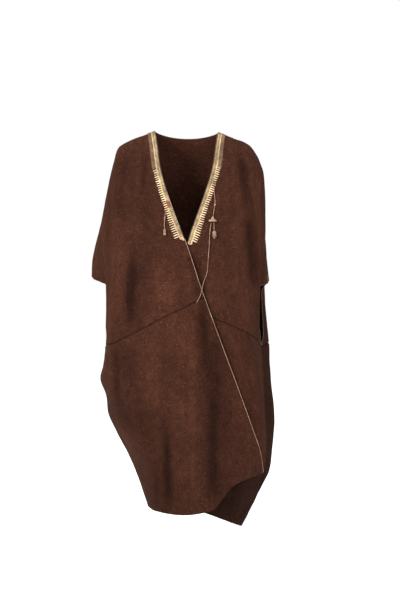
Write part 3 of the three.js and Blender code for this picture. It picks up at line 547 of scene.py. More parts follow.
def math_node(nt, op, a, b=None):
    n = nt.nodes.new("ShaderNodeMath")
    n.operation = op
    for i, x in enumerate((a, b)):
        if x is None:
            continue
        if isinstance(x, (int, float)):
            n.inputs[i].default_value = x
        else:
            nt.links.new(x, n.inputs[i])
    return n.outputs[0]


def noise_node(nt, vector, scale, detail=3, rough=0.6, distortion=0.0):
    n = nt.nodes.new("ShaderNodeTexNoise")
    n.inputs["Scale"].default_value = scale
    n.inputs["Detail"].default_value = detail
    n.inputs["Roughness"].default_value = rough
    n.inputs["Distortion"].default_value = distortion
    nt.links.new(vector, n.inputs["Vector"])
    return n.outputs["Fac"]


def ramp(nt, fac, stops):
    n = nt.nodes.new("ShaderNodeValToRGB")
    cr = n.color_ramp
    while len(cr.elements) < len(stops):
        cr.elements.new(0.5)
    for e, (pos, col) in zip(cr.elements, stops):
        e.position = pos
        e.color = (*col, 1) if len(col) == 3 else col
    nt.links.new(fac, n.inputs[0])
    return n.outputs[0]


def mix(nt, fac, a, b, mode="MIX"):
    n = nt.nodes.new("ShaderNodeMix")
    n.data_type = "RGBA"
    n.blend_type = mode
    for i, x in ((0, fac), (6, a), (7, b)):
        if isinstance(x, (int, float)):
            n.inputs[i].default_value = x
        elif isinstance(x, tuple):
            n.inputs[i].default_value = (*x, 1)
        else:
            nt.links.new(x, n.inputs[i])
    return n.outputs[2]


def scaled(nt, vector, sx, sy, sz=1.0):
    n = nt.nodes.new("ShaderNodeMapping")
    n.inputs["Scale"].default_value = (sx, sy, sz)
    nt.links.new(vector, n.inputs["Vector"])
    return n.outputs[0]


def srgb(r, g, b):
    def f(c):
        c /= 255
        return c / 12.92 if c <= 0.04045 else ((c + 0.055) / 1.055) ** 2.4
    return (f(r), f(g), f(b))


WOOL_DARK, WOOL_MID, WOOL_LIGHT, WOOL_NUB = (40, 21, 14), (46, 24, 16), (53, 29, 20), (112, 86, 68)


def wool_material():
    """Coarse plain weave in mottled dark browns. The cloth's UVs are its own metres."""
    m, nt, bsdf = new_material("wool")
    uv = nt.nodes.new("ShaderNodeUVMap")
    uv.uv_map = "cloth"
    vec = uv.outputs[0]
    sep = nt.nodes.new("ShaderNodeSeparateXYZ")
    nt.links.new(vec, sep.inputs[0])
    u, v = sep.outputs[0], sep.outputs[1]
    THREAD = 0.0017
    # threads wander a little
    wob_u = math_node(nt, "MULTIPLY", noise_node(nt, scaled(nt, vec, 30, 160), 1.0, 2), 0.0016)
    wob_v = math_node(nt, "MULTIPLY", noise_node(nt, scaled(nt, vec, 160, 30), 1.0, 2), 0.0016)
    uu = math_node(nt, "MULTIPLY", math_node(nt, "ADD", u, wob_u), 2 * math.pi / THREAD / 2)
    vv = math_node(nt, "MULTIPLY", math_node(nt, "ADD", v, wob_v), 2 * math.pi / THREAD / 2)
    su, sv = math_node(nt, "SINE", uu), math_node(nt, "SINE", vv)
    over = math_node(nt, "MULTIPLY", su, sv)              # checkerboard of overs and unders
    weave = math_node(nt, "ABSOLUTE", over)
    # colour: broad blotches, slubs along warp and weft, pale flecks
    blotch = noise_node(nt, scaled(nt, vec, 9, 6), 1.0, 4, 0.62)
    patch = noise_node(nt, scaled(nt, vec, 46, 34), 1.0, 3, 0.6)
    slub_warp = noise_node(nt, scaled(nt, vec, 330, 26), 1.0, 3, 0.62)
    slub_weft = noise_node(nt, scaled(nt, vec, 30, 330), 1.0, 3, 0.62)
    fleck = noise_node(nt, scaled(nt, vec, 210, 170), 1.0, 2, 0.7)
    nub = noise_node(nt, scaled(nt, vec, 120, 150), 1.0, 1, 0.5)
    base = ramp(nt, blotch, [(0.25, srgb(*WOOL_DARK)), (0.5, srgb(*WOOL_MID)), (0.75, srgb(*WOOL_LIGHT))])
    patches = ramp(nt, patch, [(0.32, (0.86, 0.84, 0.83)), (0.5, (1, 1, 1)), (0.7, (1.13, 1.15, 1.16))])
    col = mix(nt, 1.0, base, patches, "MULTIPLY")
    streak = math_node(nt, "ADD", math_node(nt, "MULTIPLY", slub_warp, 0.5), math_node(nt, "MULTIPLY", slub_weft, 0.5))
    streaks = ramp(nt, streak, [(0.36, (0.60, 0.56, 0.54)), (0.5, (1, 1, 1)), (0.66, (1.5, 1.58, 1.64))])
    col = mix(nt, 1.0, col, streaks, "MULTIPLY")
    flecks = ramp(nt, fleck, [(0.3, (0.70, 0.67, 0.65)), (0.5, (1, 1, 1)), (0.72, (1.4, 1.46, 1.5))])
    col = mix(nt, 1.0, col, flecks, "MULTIPLY")
    spots = ramp(nt, nub, [(0.66, (0, 0, 0)), (0.76, (1, 1, 1))])
    col = mix(nt, math_node(nt, "MULTIPLY", spots, 0.22), col, srgb(*WOOL_NUB))
    depth = ramp(nt, weave, [(0.0, (0.55, 0.53, 0.52)), (0.45, (1, 1, 1)), (1.0, (1.18, 1.16, 1.14))])
    col = mix(nt, 0.75, col, depth, "MULTIPLY")
    # painted shade and light from the cloth's shade attribute, multiplied into the colour
    dark = nt.nodes.new("ShaderNodeAttribute")
    dark.attribute_name = "shade"
    col = mix(nt, 1.0, col, dark.outputs["Fac"], "MULTIPLY")
    nt.links.new(col, bsdf.inputs["Base Color"])
    bsdf.inputs["Roughness"].default_value = 0.95
    bsdf.inputs["Specular IOR Level"].default_value = 0.04
    bsdf.inputs["Sheen Weight"].default_value = 0.03
    bsdf.inputs["Sheen Roughness"].default_value = 0.55
    bsdf.inputs["Sheen Tint"].default_value = (*srgb(150, 105, 80), 1)
    height = math_node(nt, "ADD", math_node(nt, "MULTIPLY", weave, 0.55), math_node(nt, "MULTIPLY", streak, 0.9))
    bump = nt.nodes.new("ShaderNodeBump")
    bump.inputs["Strength"].default_value = 0.75
    bump.inputs["Distance"].default_value = 0.0011
    nt.links.new(height, bump.inputs["Height"])
    pucker = noise_node(nt, scaled(nt, vec, 70, 55), 1.0, 4, 0.6)
    bump2 = nt.nodes.new("ShaderNodeBump")
    bump2.inputs["Strength"].default_value = 0.5
    bump2.inputs["Distance"].default_value = 0.004
    nt.links.new(pucker, bump2.inputs["Height"])
    nt.links.new(bump2.outputs[0], bump.inputs["Normal"])
    nt.links.new(bump.outputs[0], bsdf.inputs["Normal"])
    return m


def thread_material(name, dark, mid, light, metal, rough, scale=260, stretch=1.0):
    m, nt, bsdf = new_material(name)
    tc = nt.nodes.new("ShaderNodeTexCoord")
    vec = tc.outputs["Object"]
    big = noise_node(nt, scaled(nt, vec, 34, 34, 34), 1.0, 3, 0.6)
    fine = noise_node(nt, scaled(nt, vec, scale, scale, scale), 1.0, 3, 0.65)
    f = math_node(nt, "ADD", math_node(nt, "MULTIPLY", big, 0.55), math_node(nt, "MULTIPLY", fine, 0.45))
    col = ramp(nt, f, [(0.34, dark), (0.5, mid), (0.64, light)])
    nt.links.new(col, bsdf.inputs["Base Color"])
    bsdf.inputs["Roughness"].default_value = rough
    bsdf.inputs["Metallic"].default_value = metal
    bump = nt.nodes.new("ShaderNodeBump")
    bump.inputs["Strength"].default_value = 0.6
    bump.inputs["Distance"].default_value = 0.0005
    nt.links.new(noise_node(nt, scaled(nt, vec, 900, 900, 900), 1.0, 2), bump.inputs["Height"])
    nt.links.new(bump.outputs[0], bsdf.inputs["Normal"])
    return m


WOOL = wool_material()
GOLD = thread_material("gold_thread", srgb(84, 66, 43), srgb(136, 113, 80), srgb(176, 150, 110), 0.2, 0.5)
GOLD_PALE = thread_material("gold_thread_pale", srgb(134, 110, 78), srgb(170, 145, 108), srgb(198, 174, 136), 0.1, 0.45)
OLIVE_GOLD = thread_material("olive_gold_thread", srgb(68, 58, 28), srgb(94, 82, 42), srgb(124, 110, 62), 0.2, 0.5)
BROWN_THREAD = thread_material("brown_thread", srgb(34, 22, 12), srgb(56, 38, 21), srgb(84, 60, 34), 0.05, 0.75)
TAN_THREAD = thread_material("tan_thread", srgb(60, 43, 22), srgb(94, 69, 39), srgb(130, 100, 61), 0.1, 0.6)
GROUND = thread_material("braid_ground", srgb(38, 27, 18), srgb(58, 43, 29), srgb(82, 63, 43), 0.05, 0.8)
PIPING = thread_material("dark_piping", srgb(38, 31, 22), srgb(58, 48, 36), srgb(80, 68, 50), 0.08, 0.65)
CORD = thread_material("beige_cord", srgb(78, 58, 41), srgb(112, 87, 66), srgb(144, 116, 90), 0.03, 0.65)
KNOT = thread_material("knot_cord", srgb(58, 42, 27), srgb(90, 67, 45), srgb(124, 97, 68), 0.03, 0.7)
# painted shade: a near-black sheet laid where the gaps between the comb's teeth fall in shadow
TOOTH_GAP_SHADE = thread_material("braid_gap", srgb(22, 13, 9), srgb(32, 20, 14), srgb(46, 30, 21), 0.0, 0.9)
STRIP_BROWN = thread_material("strip_brown", srgb(42, 28, 16), srgb(66, 46, 28), srgb(94, 68, 43), 0.05, 0.7)
TOOTH = thread_material("comb_thread", srgb(150, 124, 88), srgb(190, 164, 124), srgb(216, 194, 156), 0.1, 0.45)
SLIT_BROWN = thread_material("slit_binding", srgb(34, 23, 13), srgb(54, 38, 22), srgb(82, 62, 36), 0.05, 0.7)
WORN = thread_material("worn_red_brown", srgb(66, 35, 19), srgb(104, 59, 31), srgb(142, 88, 54), 0.03, 0.75)
FRAYED = thread_material("frayed_piping", srgb(108, 92, 76), srgb(142, 126, 108), srgb(176, 160, 140), 0.0, 0.8)


# ------------------------------------------------------------------ cloth
# broad soft painted shade on the front, and painted light where the amount is below zero: x, z at the top and at the
# foot, half width, amount
FRONT_SHADES = section([
    [64, -640, 80, -900, 27, 0.20], [112, -760, 142, -1010, 44, 0.18], [134, -980, 146, -1330, 46, 0.14],
    [100, -720, 118, -1340, 24, 0.22], [56, -555, 60, -700, 15, 0.26], [18, -460, 40, -590, 14, 0.28],
    [-196, -500, -214, -760, 22, 0.10], [-246, -740, -252, -1030, 34, 0.10], [-215, -790, -205, -1060, 58, 0.28],
    [-130, -1010, -105, -1390, 72, 0.32], [-130, -690, -112, -1000, 26, -0.08], [-8, -700, 2, -1340, 30, -0.10],
    [206, -640, 226, -900, 30, -0.06], [-55, -500, -50, -770, 50, -0.24], [168, -100, 176, -330, 16, 0.06],
    [-190, -60, -190, -320, 70, 0.18], [-138, -270, -145, -540, 24, 0.20], [-160, -500, -172, -700, 28, 0.22],
    [0, -1200, 10, -1400, 110, 0.10], [202, -130, 222, -300, 12, -0.26], [238, -390, 252, -590, 15, -0.50]])
# x by depth below the origin of the line past which the strip beyond the left side fold gets painted shadow
SIDE_SHADOW_EDGE = np.array([[540, 272], [775, 272], [904, 281], [1007, 286], [1110, 291], [1200, 286], [1290, 262]])


def hollow(p, folds, creases):
    """Painted shade in the folds' hollows, a little painted light on their ridges."""
    depth = fold_depth(p, folds) + fold_depth(p, creases)
    return 1 - 0.50 * np.clip(depth / 11, 0, 1) + 0.14 * np.clip(-depth / 6, 0, 1)


def front_shade(p):
    tone = np.ones(p.shape[:-1])
    for x0, z0, x1, z1, half, amount in FRONT_SHADES:
        t = (z0 - p[..., 2]) / (z0 - z1)
        at = x0 + (x1 - x0) * np.clip(t, 0, 1)
        tone -= amount * np.exp(-((p[..., 0] - at) / half) ** 2) * smooth(-0.16, 0.12, t) * smooth(1.16, 0.88, t)
    # painted shadow on the strip beyond the left side fold, fading in between 560 and 660 mm down
    lee = smooth(-2, 5, p[..., 0] - np.interp(-p[..., 2], SIDE_SHADOW_EDGE[:, 0], SIDE_SHADOW_EDGE[:, 1]))
    low = smooth(-560, -660, p[..., 2])
    return tone * (1 - 0.48 * lee * low)


def cloth_uv(p, start=(0.0, 0.0)):
    """UVs in metres along the cloth: arc lengths across and down the grid, evened out."""
    du = np.linalg.norm(np.diff(p, axis=1), axis=-1)
    dv = np.linalg.norm(np.diff(p, axis=0), axis=-1)
    u = np.concatenate([np.zeros((p.shape[0], 1)), np.cumsum(du, axis=1)], 1)
    v = np.concatenate([np.zeros((1, p.shape[1])), np.cumsum(dv, axis=0)], 0)
    return np.stack([u * MM + start[0], v * MM + start[1]], -1)


def columns(n, first=0.0, last=1.0):
    return np.linspace(first, last, n)


def roughen(p, uv, seed, keep=None):
    """Small unevenness of hand-woven cloth along the normals."""
    n = outward(grid_normals(p), p)
    u, v = uv[..., 0] / MM, uv[..., 1] / MM
    h = (lattice_noise(seed, u, v, 46, 150) * 1.2 + lattice_noise(seed + 1, u, v, 22, 60) * 0.7
         + lattice_noise(seed + 2, u, v, 10, 20) * 0.32 + lattice_noise(seed + 3, u, v, 70, 34) * 0.5) - 0.7
    if keep is not None:
        h = h * keep
    return p + n * h[..., None]


def seam_line(rows_d, at, width):
    """1 on the level seam, fading over width (mm)."""
    return np.exp(-(((rows_d - at) * CLOTH_DROP) / width) ** 2)


STEP = 5.0
SEAM_HALF = 0.15 / CLOTH_DROP
UP = np.concatenate([np.linspace(0, 0.02, 6)[:-1], np.linspace(0.02, 0.488, 120)[:-1], np.linspace(0.488, 0.5, 10)])
UP[0] = SEAM_HALF
UP[-1] = 0.5 - SEAM_HALF
LOW = np.concatenate([np.linspace(0.5, 0.512, 10)[:-1], np.linspace(0.512, 1.0, 126)])
LOW[0] = 0.5 + SEAM_HALF
pieces = {}


def settle(p, d, seed, side_keep, extra=1.0):
    uv = cloth_uv(p)
    facing = np.clip(-outward(grid_normals(p), p)[..., 1] * 3, -1, 1)
    # painted shade in the folds' hollows and painted light on their ridges, on the side that faces out
    fold_shade = np.where(facing > 0, 1 + (hollow(p, FRONT_FOLDS, FRONT_CREASES) - 1) * facing,
                    1 + (hollow(p, BACK_FOLDS, BACK_CREASES) - 1) * -facing)
    # times the front's broad painted shade and light, and the painted shadow passed in as extra
    fold_shade = fold_shade * (1 + (front_shade(p) - 1) * np.clip(facing + 0.4, 0, 1)) * extra
    near_top = smooth(0, 0.03, d)[:, None]
    p = roughen(p, uv, seed, near_top * side_keep)
    n = outward(grid_normals(p), p)
    welt = seam_line(d, 0.508, 4.0)[:, None] * 1.3 - seam_line(d, 0.5, 2.4)[:, None] * 1.9
    pucker = seam_line(d, 0.5, 14)[:, None] * lattice_noise(seed + 9, uv[..., 0] / MM, uv[..., 1] / MM, 9, 40) * 0.9
    # the shade attribute: a darker line along the level seam, times the painted shade and light above
    shade = np.clip(1 - 0.52 * seam_line(d, 0.5, 3.2)[:, None] * (1 + 0.6 * lattice_noise(
        seed + 12, uv[..., 0] / MM, uv[..., 1] / MM, 13, 60)), 0, 1) * fold_shade
    return p + n * (welt + pucker)[..., None], uv, shade


# where the right front's edge hangs: x by depth below the origin, for the shadow it leaves on the left front
EDGE_D = np.linspace(0.25, 1.0, 60)
EDGE_RUN = front_right(np.zeros((60, 1)), EDGE_D)[:, 0]


def under_wrap(p):
    """Shade on the left front beside the right front's edge, and under its hem."""
    edge = np.interp(-p[..., 2], -EDGE_RUN[:, 2], EDGE_RUN[:, 0])
    beside = smooth(12, 1, p[..., 0] - edge) * smooth(-380, -420, p[..., 2])
    gap = 0.36 * smooth(-430, -470, p[..., 2]) * smooth(-600, -540, p[..., 2]) * smooth(30, 2, p[..., 0] - edge)
    hem = smooth(-1150, -1262, p[..., 2] + 0.35 * (p[..., 0] - 230))
    return (1 - 0.5 * beside) * (1 - gap) * (1 - 0.14 * hem)


def front_upper(name, surf, seed):
    a = columns(112)
    A = np.tile(a, (len(UP), 1))
    p = surf(A, UP)
    # painted shadow on the left front beside the right front's edge and under its hem
    extra = under_wrap(p) if surf is front_left else 1.0
    p, uv, shade = settle(p, UP, seed, smooth(1, 0.93, A) * smooth(0.02, 0.20, A), extra)
    return shell(name, p, uv + np.array([seed * 0.37, 0]), WOOL, shade=shade)


pieces["cloth_front_right_upper"] = front_upper("cloth_front_right_upper", front_right, 11)
pieces["cloth_front_left_upper"] = front_upper("cloth_front_left_upper", front_left, 23)

A = np.tile(np.concatenate([columns(72, 0, 0.4)[:-1], columns(54, 0.4, 0.6)[:-1], columns(72, 0.6, 1)]), (len(UP), 1))
p = back(A, UP)
keep = smooth(0, 0.03, A) * smooth(1, 0.97, A)
p, uv, shade = settle(p, UP, 37, keep)
pieces["cloth_back_upper"] = shell("cloth_back_upper", p, uv + np.array([5.1, 0]), WOOL, shade=shade)

# the lower width is one strip: right front, round the side fold, the back, and the left front
nf, nb = 84, 176
Af = np.tile(columns(nf), (len(LOW), 1))
Ab = np.tile(columns(nb), (len(LOW), 1))
right_part, back_part, left_part = front_right(Af, LOW), back(Ab, LOW), front_left(Af, LOW)[:, ::-1]
strip = np.concatenate([right_part, back_part[:, 1:], left_part[:, 1:]], 1)
for _ in range(8):                                       # soften the two side folds
    blur = strip.copy()
    blur[:, 1:-1] = (strip[:, :-2] + strip[:, 2:]) / 2
    w = np.zeros(strip.shape[1])
    for c in (nf - 1, nf + nb - 2):
        w += np.exp(-((np.arange(len(w)) - c) / 3.0) ** 2)
    strip += (blur - strip) * (w * 0.5)[None, :, None]
edge_keep = smooth(0, 5, np.arange(strip.shape[1]))[None, :] * np.ones((len(LOW), 1))
# painted shadow on the left front's part of the strip, beside the right front's edge and under its hem
extra = np.ones(strip.shape[:2])
extra[:, nf + nb - 1:] = under_wrap(strip[:, nf + nb - 1:])
p, uv, shade = settle(strip, LOW, 51, edge_keep, extra)
lower = shell("cloth_lower_strip", p, uv + np.array([9.3, 0]), WOOL, shade=shade)
pieces["cloth_lower_strip"] = lower

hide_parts("front_right_upper")
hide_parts("front_left_upper")
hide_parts("back_upper")
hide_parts("front_right_lower", "back_lower", "front_left_lower")
for ob in pieces.values():
    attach(ob, "root")


# ------------------------------------------------------------------ trims that lie on the cloth
def lay(surf, a, d, lift, up=0.35):
    """Points at across a and down d (both (n,)), lifted off the cloth's middle by lift mm."""
    d = np.asarray(d, float)
    a = np.broadcast_to(np.asarray(a, float), d.shape)[:, None]
    lift = np.broadcast_to(np.asarray(lift, float), d.shape)
    e = 0.004
    q = surf(a, d)[:, 0]
    ta = surf(np.minimum(a + e, 1), d)[:, 0] - surf(np.maximum(a - e, 0), d)[:, 0]
    td = surf(a, np.minimum(d + e, 1))[:, 0] - surf(a, np.maximum(d - e, 0))[:, 0]
    n = np.cross(ta, td)
    n /= np.linalg.norm(n, axis=1, keepdims=True)
    n *= np.sign(-n[:, 1:2] + n[:, 2:3] * up)
    return q + n * lift[:, None]


def lay_on(surf, d, off, lift):
    """Points at off mm in from the edge (across = 0) at levels d, lifted off the cloth by lift mm."""
    d = np.asarray(d, float)
    off = np.broadcast_to(np.asarray(off, float), d.shape)
    h = 0.01
    a0 = np.zeros((len(d), 1))
    speed = np.linalg.norm(surf(a0 + h, d)[:, 0] - surf(a0, d)[:, 0], axis=1) / h
    return lay(surf, off / speed, d, lift)


def even_levels(surf, off, d0, d1, step):
    t = np.linspace(d0, d1, 400)
    p = lay_on(surf, t, off, 0)
    s = np.concatenate([[0], np.cumsum(np.linalg.norm(np.diff(p, axis=0), axis=1))])
    return np.interp(np.arange(0, s[-1], step), s, t)


WORN_FROM, WORN_TO = 0.2215, 0.2400         # the rubbed patch on the right braid
FRAYED_FROM, FRAYED_TO = 0.197, 0.300       # where its piping has gone pale
ROWS = [(2.4, 0.72), (4.1, 0.72), (5.8, 0.72), (8.4, 0.72), (10.1, 0.72), (11.6, 0.66)]


def split(levels, cuts):
    """The runs of levels between the cuts, each sharing its end with the next."""
    edges = [levels[0]] + [c for c in cuts if levels[0] < c < levels[-1]] + [levels[-1]]
    return [np.concatenate([[lo], levels[(levels > lo) & (levels < hi)], [hi]]) for lo, hi in zip(edges, edges[1:])]


def neck_braid(side, surf, seed):
    rng = np.random.default_rng(seed)
    bags = {k: [] for k in ("gold", "pale", "tooth", "brown", "strip", "tan", "piping", "worn", "frayed")}
    d_end = V_END[side]
    slant = 0.00042 if side == "right" else 0.0
    lift0 = WALL / 2 + 0.75
    worn = side == "right"

    def kind(mid, usual):
        return "worn" if worn and WORN_FROM < mid < WORN_TO and usual not in ("brown", "strip") else usual

    def run(off, r, usual, d0, d1, amount=0.25, rise=0.7):
        levels = np.linspace(d0, d1, max(8, int((d1 - d0) * 400)))
        for part in split(levels, [WORN_FROM, WORN_TO] if worn else []):
            wob = amount * lattice_noise(seed + int(off * 10), part * 1000, part * 0, 9, 9)
            fat = 1 + 0.14 * lattice_noise(seed + 77, part * 1317, part * 0 + off, 5, 1)
            line = lay_on(surf, part, off + wob, lift0 + r * rise)
            bags[kind((part[0] + part[-1]) / 2, usual)].append(tube_mesh(line, r, 6, radii=r * fat))

    # piping on the very edge
    levels = np.linspace(0.002, d_end, 260)
    for part in split(levels, [FRAYED_FROM, FRAYED_TO] if worn else []):
        mid = (part[0] + part[-1]) / 2
        frayed = worn and FRAYED_FROM < mid < FRAYED_TO
        bags["frayed" if frayed else "piping"] += ply_cord(lay_on(surf, part, -0.5, 0.2), 2.4 if frayed else 3.0, 2, 7.0, 6, 1.6)[0]
    # two bands of laid thread and a bright line beside them
    for off, r in ROWS:
        run(off, r, "gold", 0.002, d_end - slant * off)
    run(13.6, 1.05, "pale", 0.002, d_end - slant * 13.6)
    # couching stitches across the bands
    for d in even_levels(surf, 6.0, 0.004, d_end - 0.006, 3.1):
        lo, hi = (1.7, 6.4) if rng.random() < 0.5 else (7.8, 12.2)
        skew = rng.uniform(-0.0009, 0.0009)
        offs = np.linspace(lo, hi, 4)
        line = lay_on(surf, d + np.linspace(-skew, skew, 4), offs, lift0 + 1.25)
        usual = "brown" if rng.random() < 0.45 else "gold"
        bags[kind(d, usual)].append(tube_mesh(line, 0.42, 5))
    # upper half: a brown embroidered strip outside the bright line
    for off, r in ((16.6, 0.85), (18.5, 0.85), (20.4, 0.85), (22.3, 0.85), (24.2, 0.85), (26.2, 0.9)):
        run(off, r, "strip", 0.002, 0.136 - (off - 16) * 0.0008, 0.35)
    for d in even_levels(surf, 19.0, 0.004, 0.130, 3.6):
        offs = np.linspace(15.2, 25.5 + rng.uniform(-1, 1.5) + (7 * smooth(0.05, 0.12, np.array([d]))[0] if side == "left" else 0), 6)
        line = lay_on(surf, d + np.linspace(0, rng.uniform(-0.002, 0.002), 6), offs, lift0 + 1.2)
        bags["tan"].append(tube_mesh(line, 0.55, 5))
    # lower half: a comb of thread loops, longer towards the bottom
    start = 0.138 if side == "right" else 0.112
    for d in even_levels(surf, 17.0, start, d_end - 0.006, 8.2):
        grow = smooth(0.24, 0.30, np.array([d]))[0] * 4.5
        reach = 27.0 + grow + rng.uniform(-1.4, 1.2)
        offs = np.linspace(13.8, reach, 9)
        tip = (offs - 13.8) / (reach - 13.8)
        for k, usual in ((-1, "pale"), (1, "gold")):
            gap = k * (1 - 0.7 * tip ** 3) * 0.00062
            line = lay_on(surf, d + 0.0012 * tip + gap, offs, lift0 + 0.55 - 0.5 * tip)
            bags["tooth" if rng.random() < 0.8 else "gold"].append(tube_mesh(line, 0.8, 6, radii=0.95 - 0.3 * tip ** 2))
    if side == "right":
        # the end of the band: short loops hanging down
        for off in (2.5, 6.0, 9.5, 13.0):
            d0 = d_end - slant * off
            drop = np.linspace(-0.001, 0.0085 + rng.uniform(-0.001, 0.001), 6)
            for k, usual in ((-0.9, "pale"), (0.9, "gold")):
                line = lay_on(surf, d0 + drop, off + k * (1 - drop * 60), lift0 + 0.6 - drop * 30)
                bags[usual].append(tube_mesh(line, 0.8, 6))
    else:
        # the band's end turns over in a rounded cap
        turn = np.linspace(0, np.pi, 14)
        for r0, usual in ((5.6, "gold"), (3.8, "gold"), (7.2, "pale")):
            line = lay_on(surf, d_end + 0.0038 * np.sin(turn) * r0 / 5.6, 7.4 - r0 * np.cos(turn), lift0 + 0.6)
            bags[usual].append(tube_mesh(line, 0.85, 6))
    return bags


def ground_strip(name, surf, d0, d1, off0, off1, material, slant=0.0):
    offs = np.linspace(off0, off1, 10)
    rows = np.linspace(0, 1, 120)
    p = np.stack([lay_on(surf, d0 + (d1 - slant * o - d0) * rows, o, WALL / 2 + 0.45) for o in offs], 1)
    return shell(name, p, cloth_uv(p), material, thick=0.5)


def put(name, parts, material):
    v, f = join_parts(parts)
    ob = make_mesh(name, v, f, None, material)
    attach(ob, "root")
    return ob


BRAID_MATERIALS = {"gold": GOLD, "pale": GOLD_PALE, "brown": BROWN_THREAD, "piping": PIPING, "worn": WORN,
                   "frayed": FRAYED, "tan": TAN_THREAD, "strip": STRIP_BROWN, "tooth": TOOTH}
for side, surf, seed in (("right", front_right, 101), ("left", front_left, 202)):
    bags = neck_braid(side, surf, seed)
    slant = 0.00042 if side == "right" else 0.0
    strips = [ground_strip(f"braid_ground_{side}", surf, 0.002, V_END[side], 0.6, 14.6, GROUND, slant),
              ground_strip(f"braid_strip_{side}", surf, 0.002, 0.134, 14.9, 27.6, STRIP_BROWN),
              # painted shade under the comb's teeth
              ground_strip(f"braid_gap_{side}", surf, 0.137, V_END[side] - 0.004, 14.9, 26.2, TOOTH_GAP_SHADE)]
    for strip in strips:
        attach(strip, "root")
    for kind, parts in bags.items():
        if parts:
            ob = put(f"braid_{kind}_{side}", parts, BRAID_MATERIALS[kind])
            if kind == "gold":
                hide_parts(f"neck_braid_{side}")

# the front of the left shoulder seam carries a short olive-gold trim beside the braid
trim = []
for d, r in ((0.0016, 0.85), (0.0034, 0.85), (0.0052, 0.75)):
    a = np.linspace(0.075, 0.20 - d * 3, 30)
    trim.append(tube_mesh(lay(front_left, a, np.full(30, d), WALL / 2 + r * 0.8, 3.0), r, 6))
put("shoulder_trim_left", trim, OLIVE_GOLD)


# back neck: the same gold lines along the nape
def lay_nape(a, off, lift):
    a = np.asarray(a, float)
    d = np.broadcast_to(np.asarray(off, float) / CLOTH_DROP, a.shape)
    e = 0.0015
    at = lambda aa, dd: back(aa[:, None], dd)[:, 0]
    q = at(a, d)
    ta = at(np.minimum(a + e, 0.6), d) - at(np.maximum(a - e, 0.4), d)
    td = at(a, d + 0.004) - at(a, np.maximum(d - 0.004, 0))
    n = np.cross(ta, td)
    n /= np.linalg.norm(n, axis=1, keepdims=True)
    n *= np.sign(n[:, 1:2] + 0.5 * n[:, 2:3])
    return q + n * lift


nape = np.linspace(0.4, 0.6, 90)
gold, pale, piping = [], [], []
parts, _ = ply_cord(lay_nape(nape, 0.0, 0.3), 3.0, 2, 7.0, 6, 1.4)
piping += parts
for off, r in ROWS:
    gold.append(tube_mesh(lay_nape(nape, off, WALL / 2 + 0.75 + r * 0.7), r, 6))
pale.append(tube_mesh(lay_nape(nape, 13.6, WALL / 2 + 0.75 + 0.7), 1.05, 6))
brown = [tube_mesh(lay_nape(nape, off, WALL / 2 + 0.75 + 0.5), 0.85, 6) for off in (16.4, 18.1, 19.8, 21.5, 23.4)]
for a in np.linspace(0.402, 0.598, 72):
    pts = lay_nape(np.full(5, a), np.linspace(1.8, 12.2, 5), WALL / 2 + 2.0)
    gold.append(tube_mesh(pts, 0.42, 5))
for a in np.linspace(0.401, 0.599, 60):
    pts = lay_nape(np.full(4, a), np.linspace(15.2, 23.0, 4), WALL / 2 + 1.95)
    brown.append(tube_mesh(pts, 0.5, 5))
grid_a = np.linspace(0.4, 0.6, 60)
p = np.stack([lay_nape(grid_a, o, WALL / 2 + 0.45) for o in np.linspace(0.6, 24.4, 12)], 1)
ground = shell("braid_ground_back", p, cloth_uv(p), GROUND, thick=0.5)
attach(ground, "root")
put("braid_brown_back", brown, BROWN_THREAD)
nape_gold = put("braid_gold_back", gold, GOLD)
put("braid_pale_back", pale, GOLD_PALE)
put("braid_piping_back", piping, PIPING)
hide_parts("neck_braid_back")


# ------------------------------------------------------------------ cords along edges
def edge_points(surf, d, across_at, out, up=0.0):
    """Points beside an edge (across 0 or 1), out mm outside it."""
    d = np.asarray(d, float)
    a0 = np.full((len(d), 1), float(across_at))
    a1 = np.full((len(d), 1), 0.012 if across_at == 0 else 0.988)
    q0, q1 = surf(a0, d)[:, 0], surf(a1, d)[:, 0]
    inward = q1 - q0
    t = np.gradient(q0, axis=0)
    t /= np.linalg.norm(t, axis=1, keepdims=True)
    inward -= t * (inward * t).sum(1, keepdims=True)
    inward /= np.linalg.norm(inward, axis=1, keepdims=True)
    n = np.cross(t, inward)
    n *= np.sign(-n[:, 1:2])
    return q0 - inward * out + n * up


def edge_cord(name, nodes, line, diameter, material=CORD):
    parts, centre = ply_cord(line, diameter, 2, diameter * 2.8, 7, 1.1)
    ob = put(name, parts, material)
    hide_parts(*nodes)
    return ob


edge_cord("couched_edge_cord", ["edge_cord_right"],
          edge_points(front_right, np.linspace(V_END["right"] + 0.003, 0.9985, 300), 0, EDGE_CORD / 2 + 0.4), EDGE_CORD)
edge_cord("slit_cord_right_front_ply", ["slit_cord_right_front"],
          edge_points(front_right, np.linspace(0.03, 0.497, 120), 1, SLIT_CORD / 2 + 0.4), SLIT_CORD, SLIT_BROWN)
edge_cord("slit_cord_left_front_ply", ["slit_cord_left_front"],
          edge_points(front_left, np.linspace(0.03, 0.497, 120), 1, SLIT_CORD / 2 + 0.4), SLIT_CORD, SLIT_BROWN)
edge_cord("slit_cord_right_back_ply", ["slit_cord_right_back"],
          edge_points(back, np.linspace(0.03, 0.49, 90), 0, SLIT_CORD / 2 + 0.4), SLIT_CORD, SLIT_BROWN)
edge_cord("slit_cord_left_back_ply", ["slit_cord_left_back"],
          edge_points(back, np.linspace(0.03, 0.49, 90), 1, SLIT_CORD / 2 + 0.4), SLIT_CORD, SLIT_BROWN)

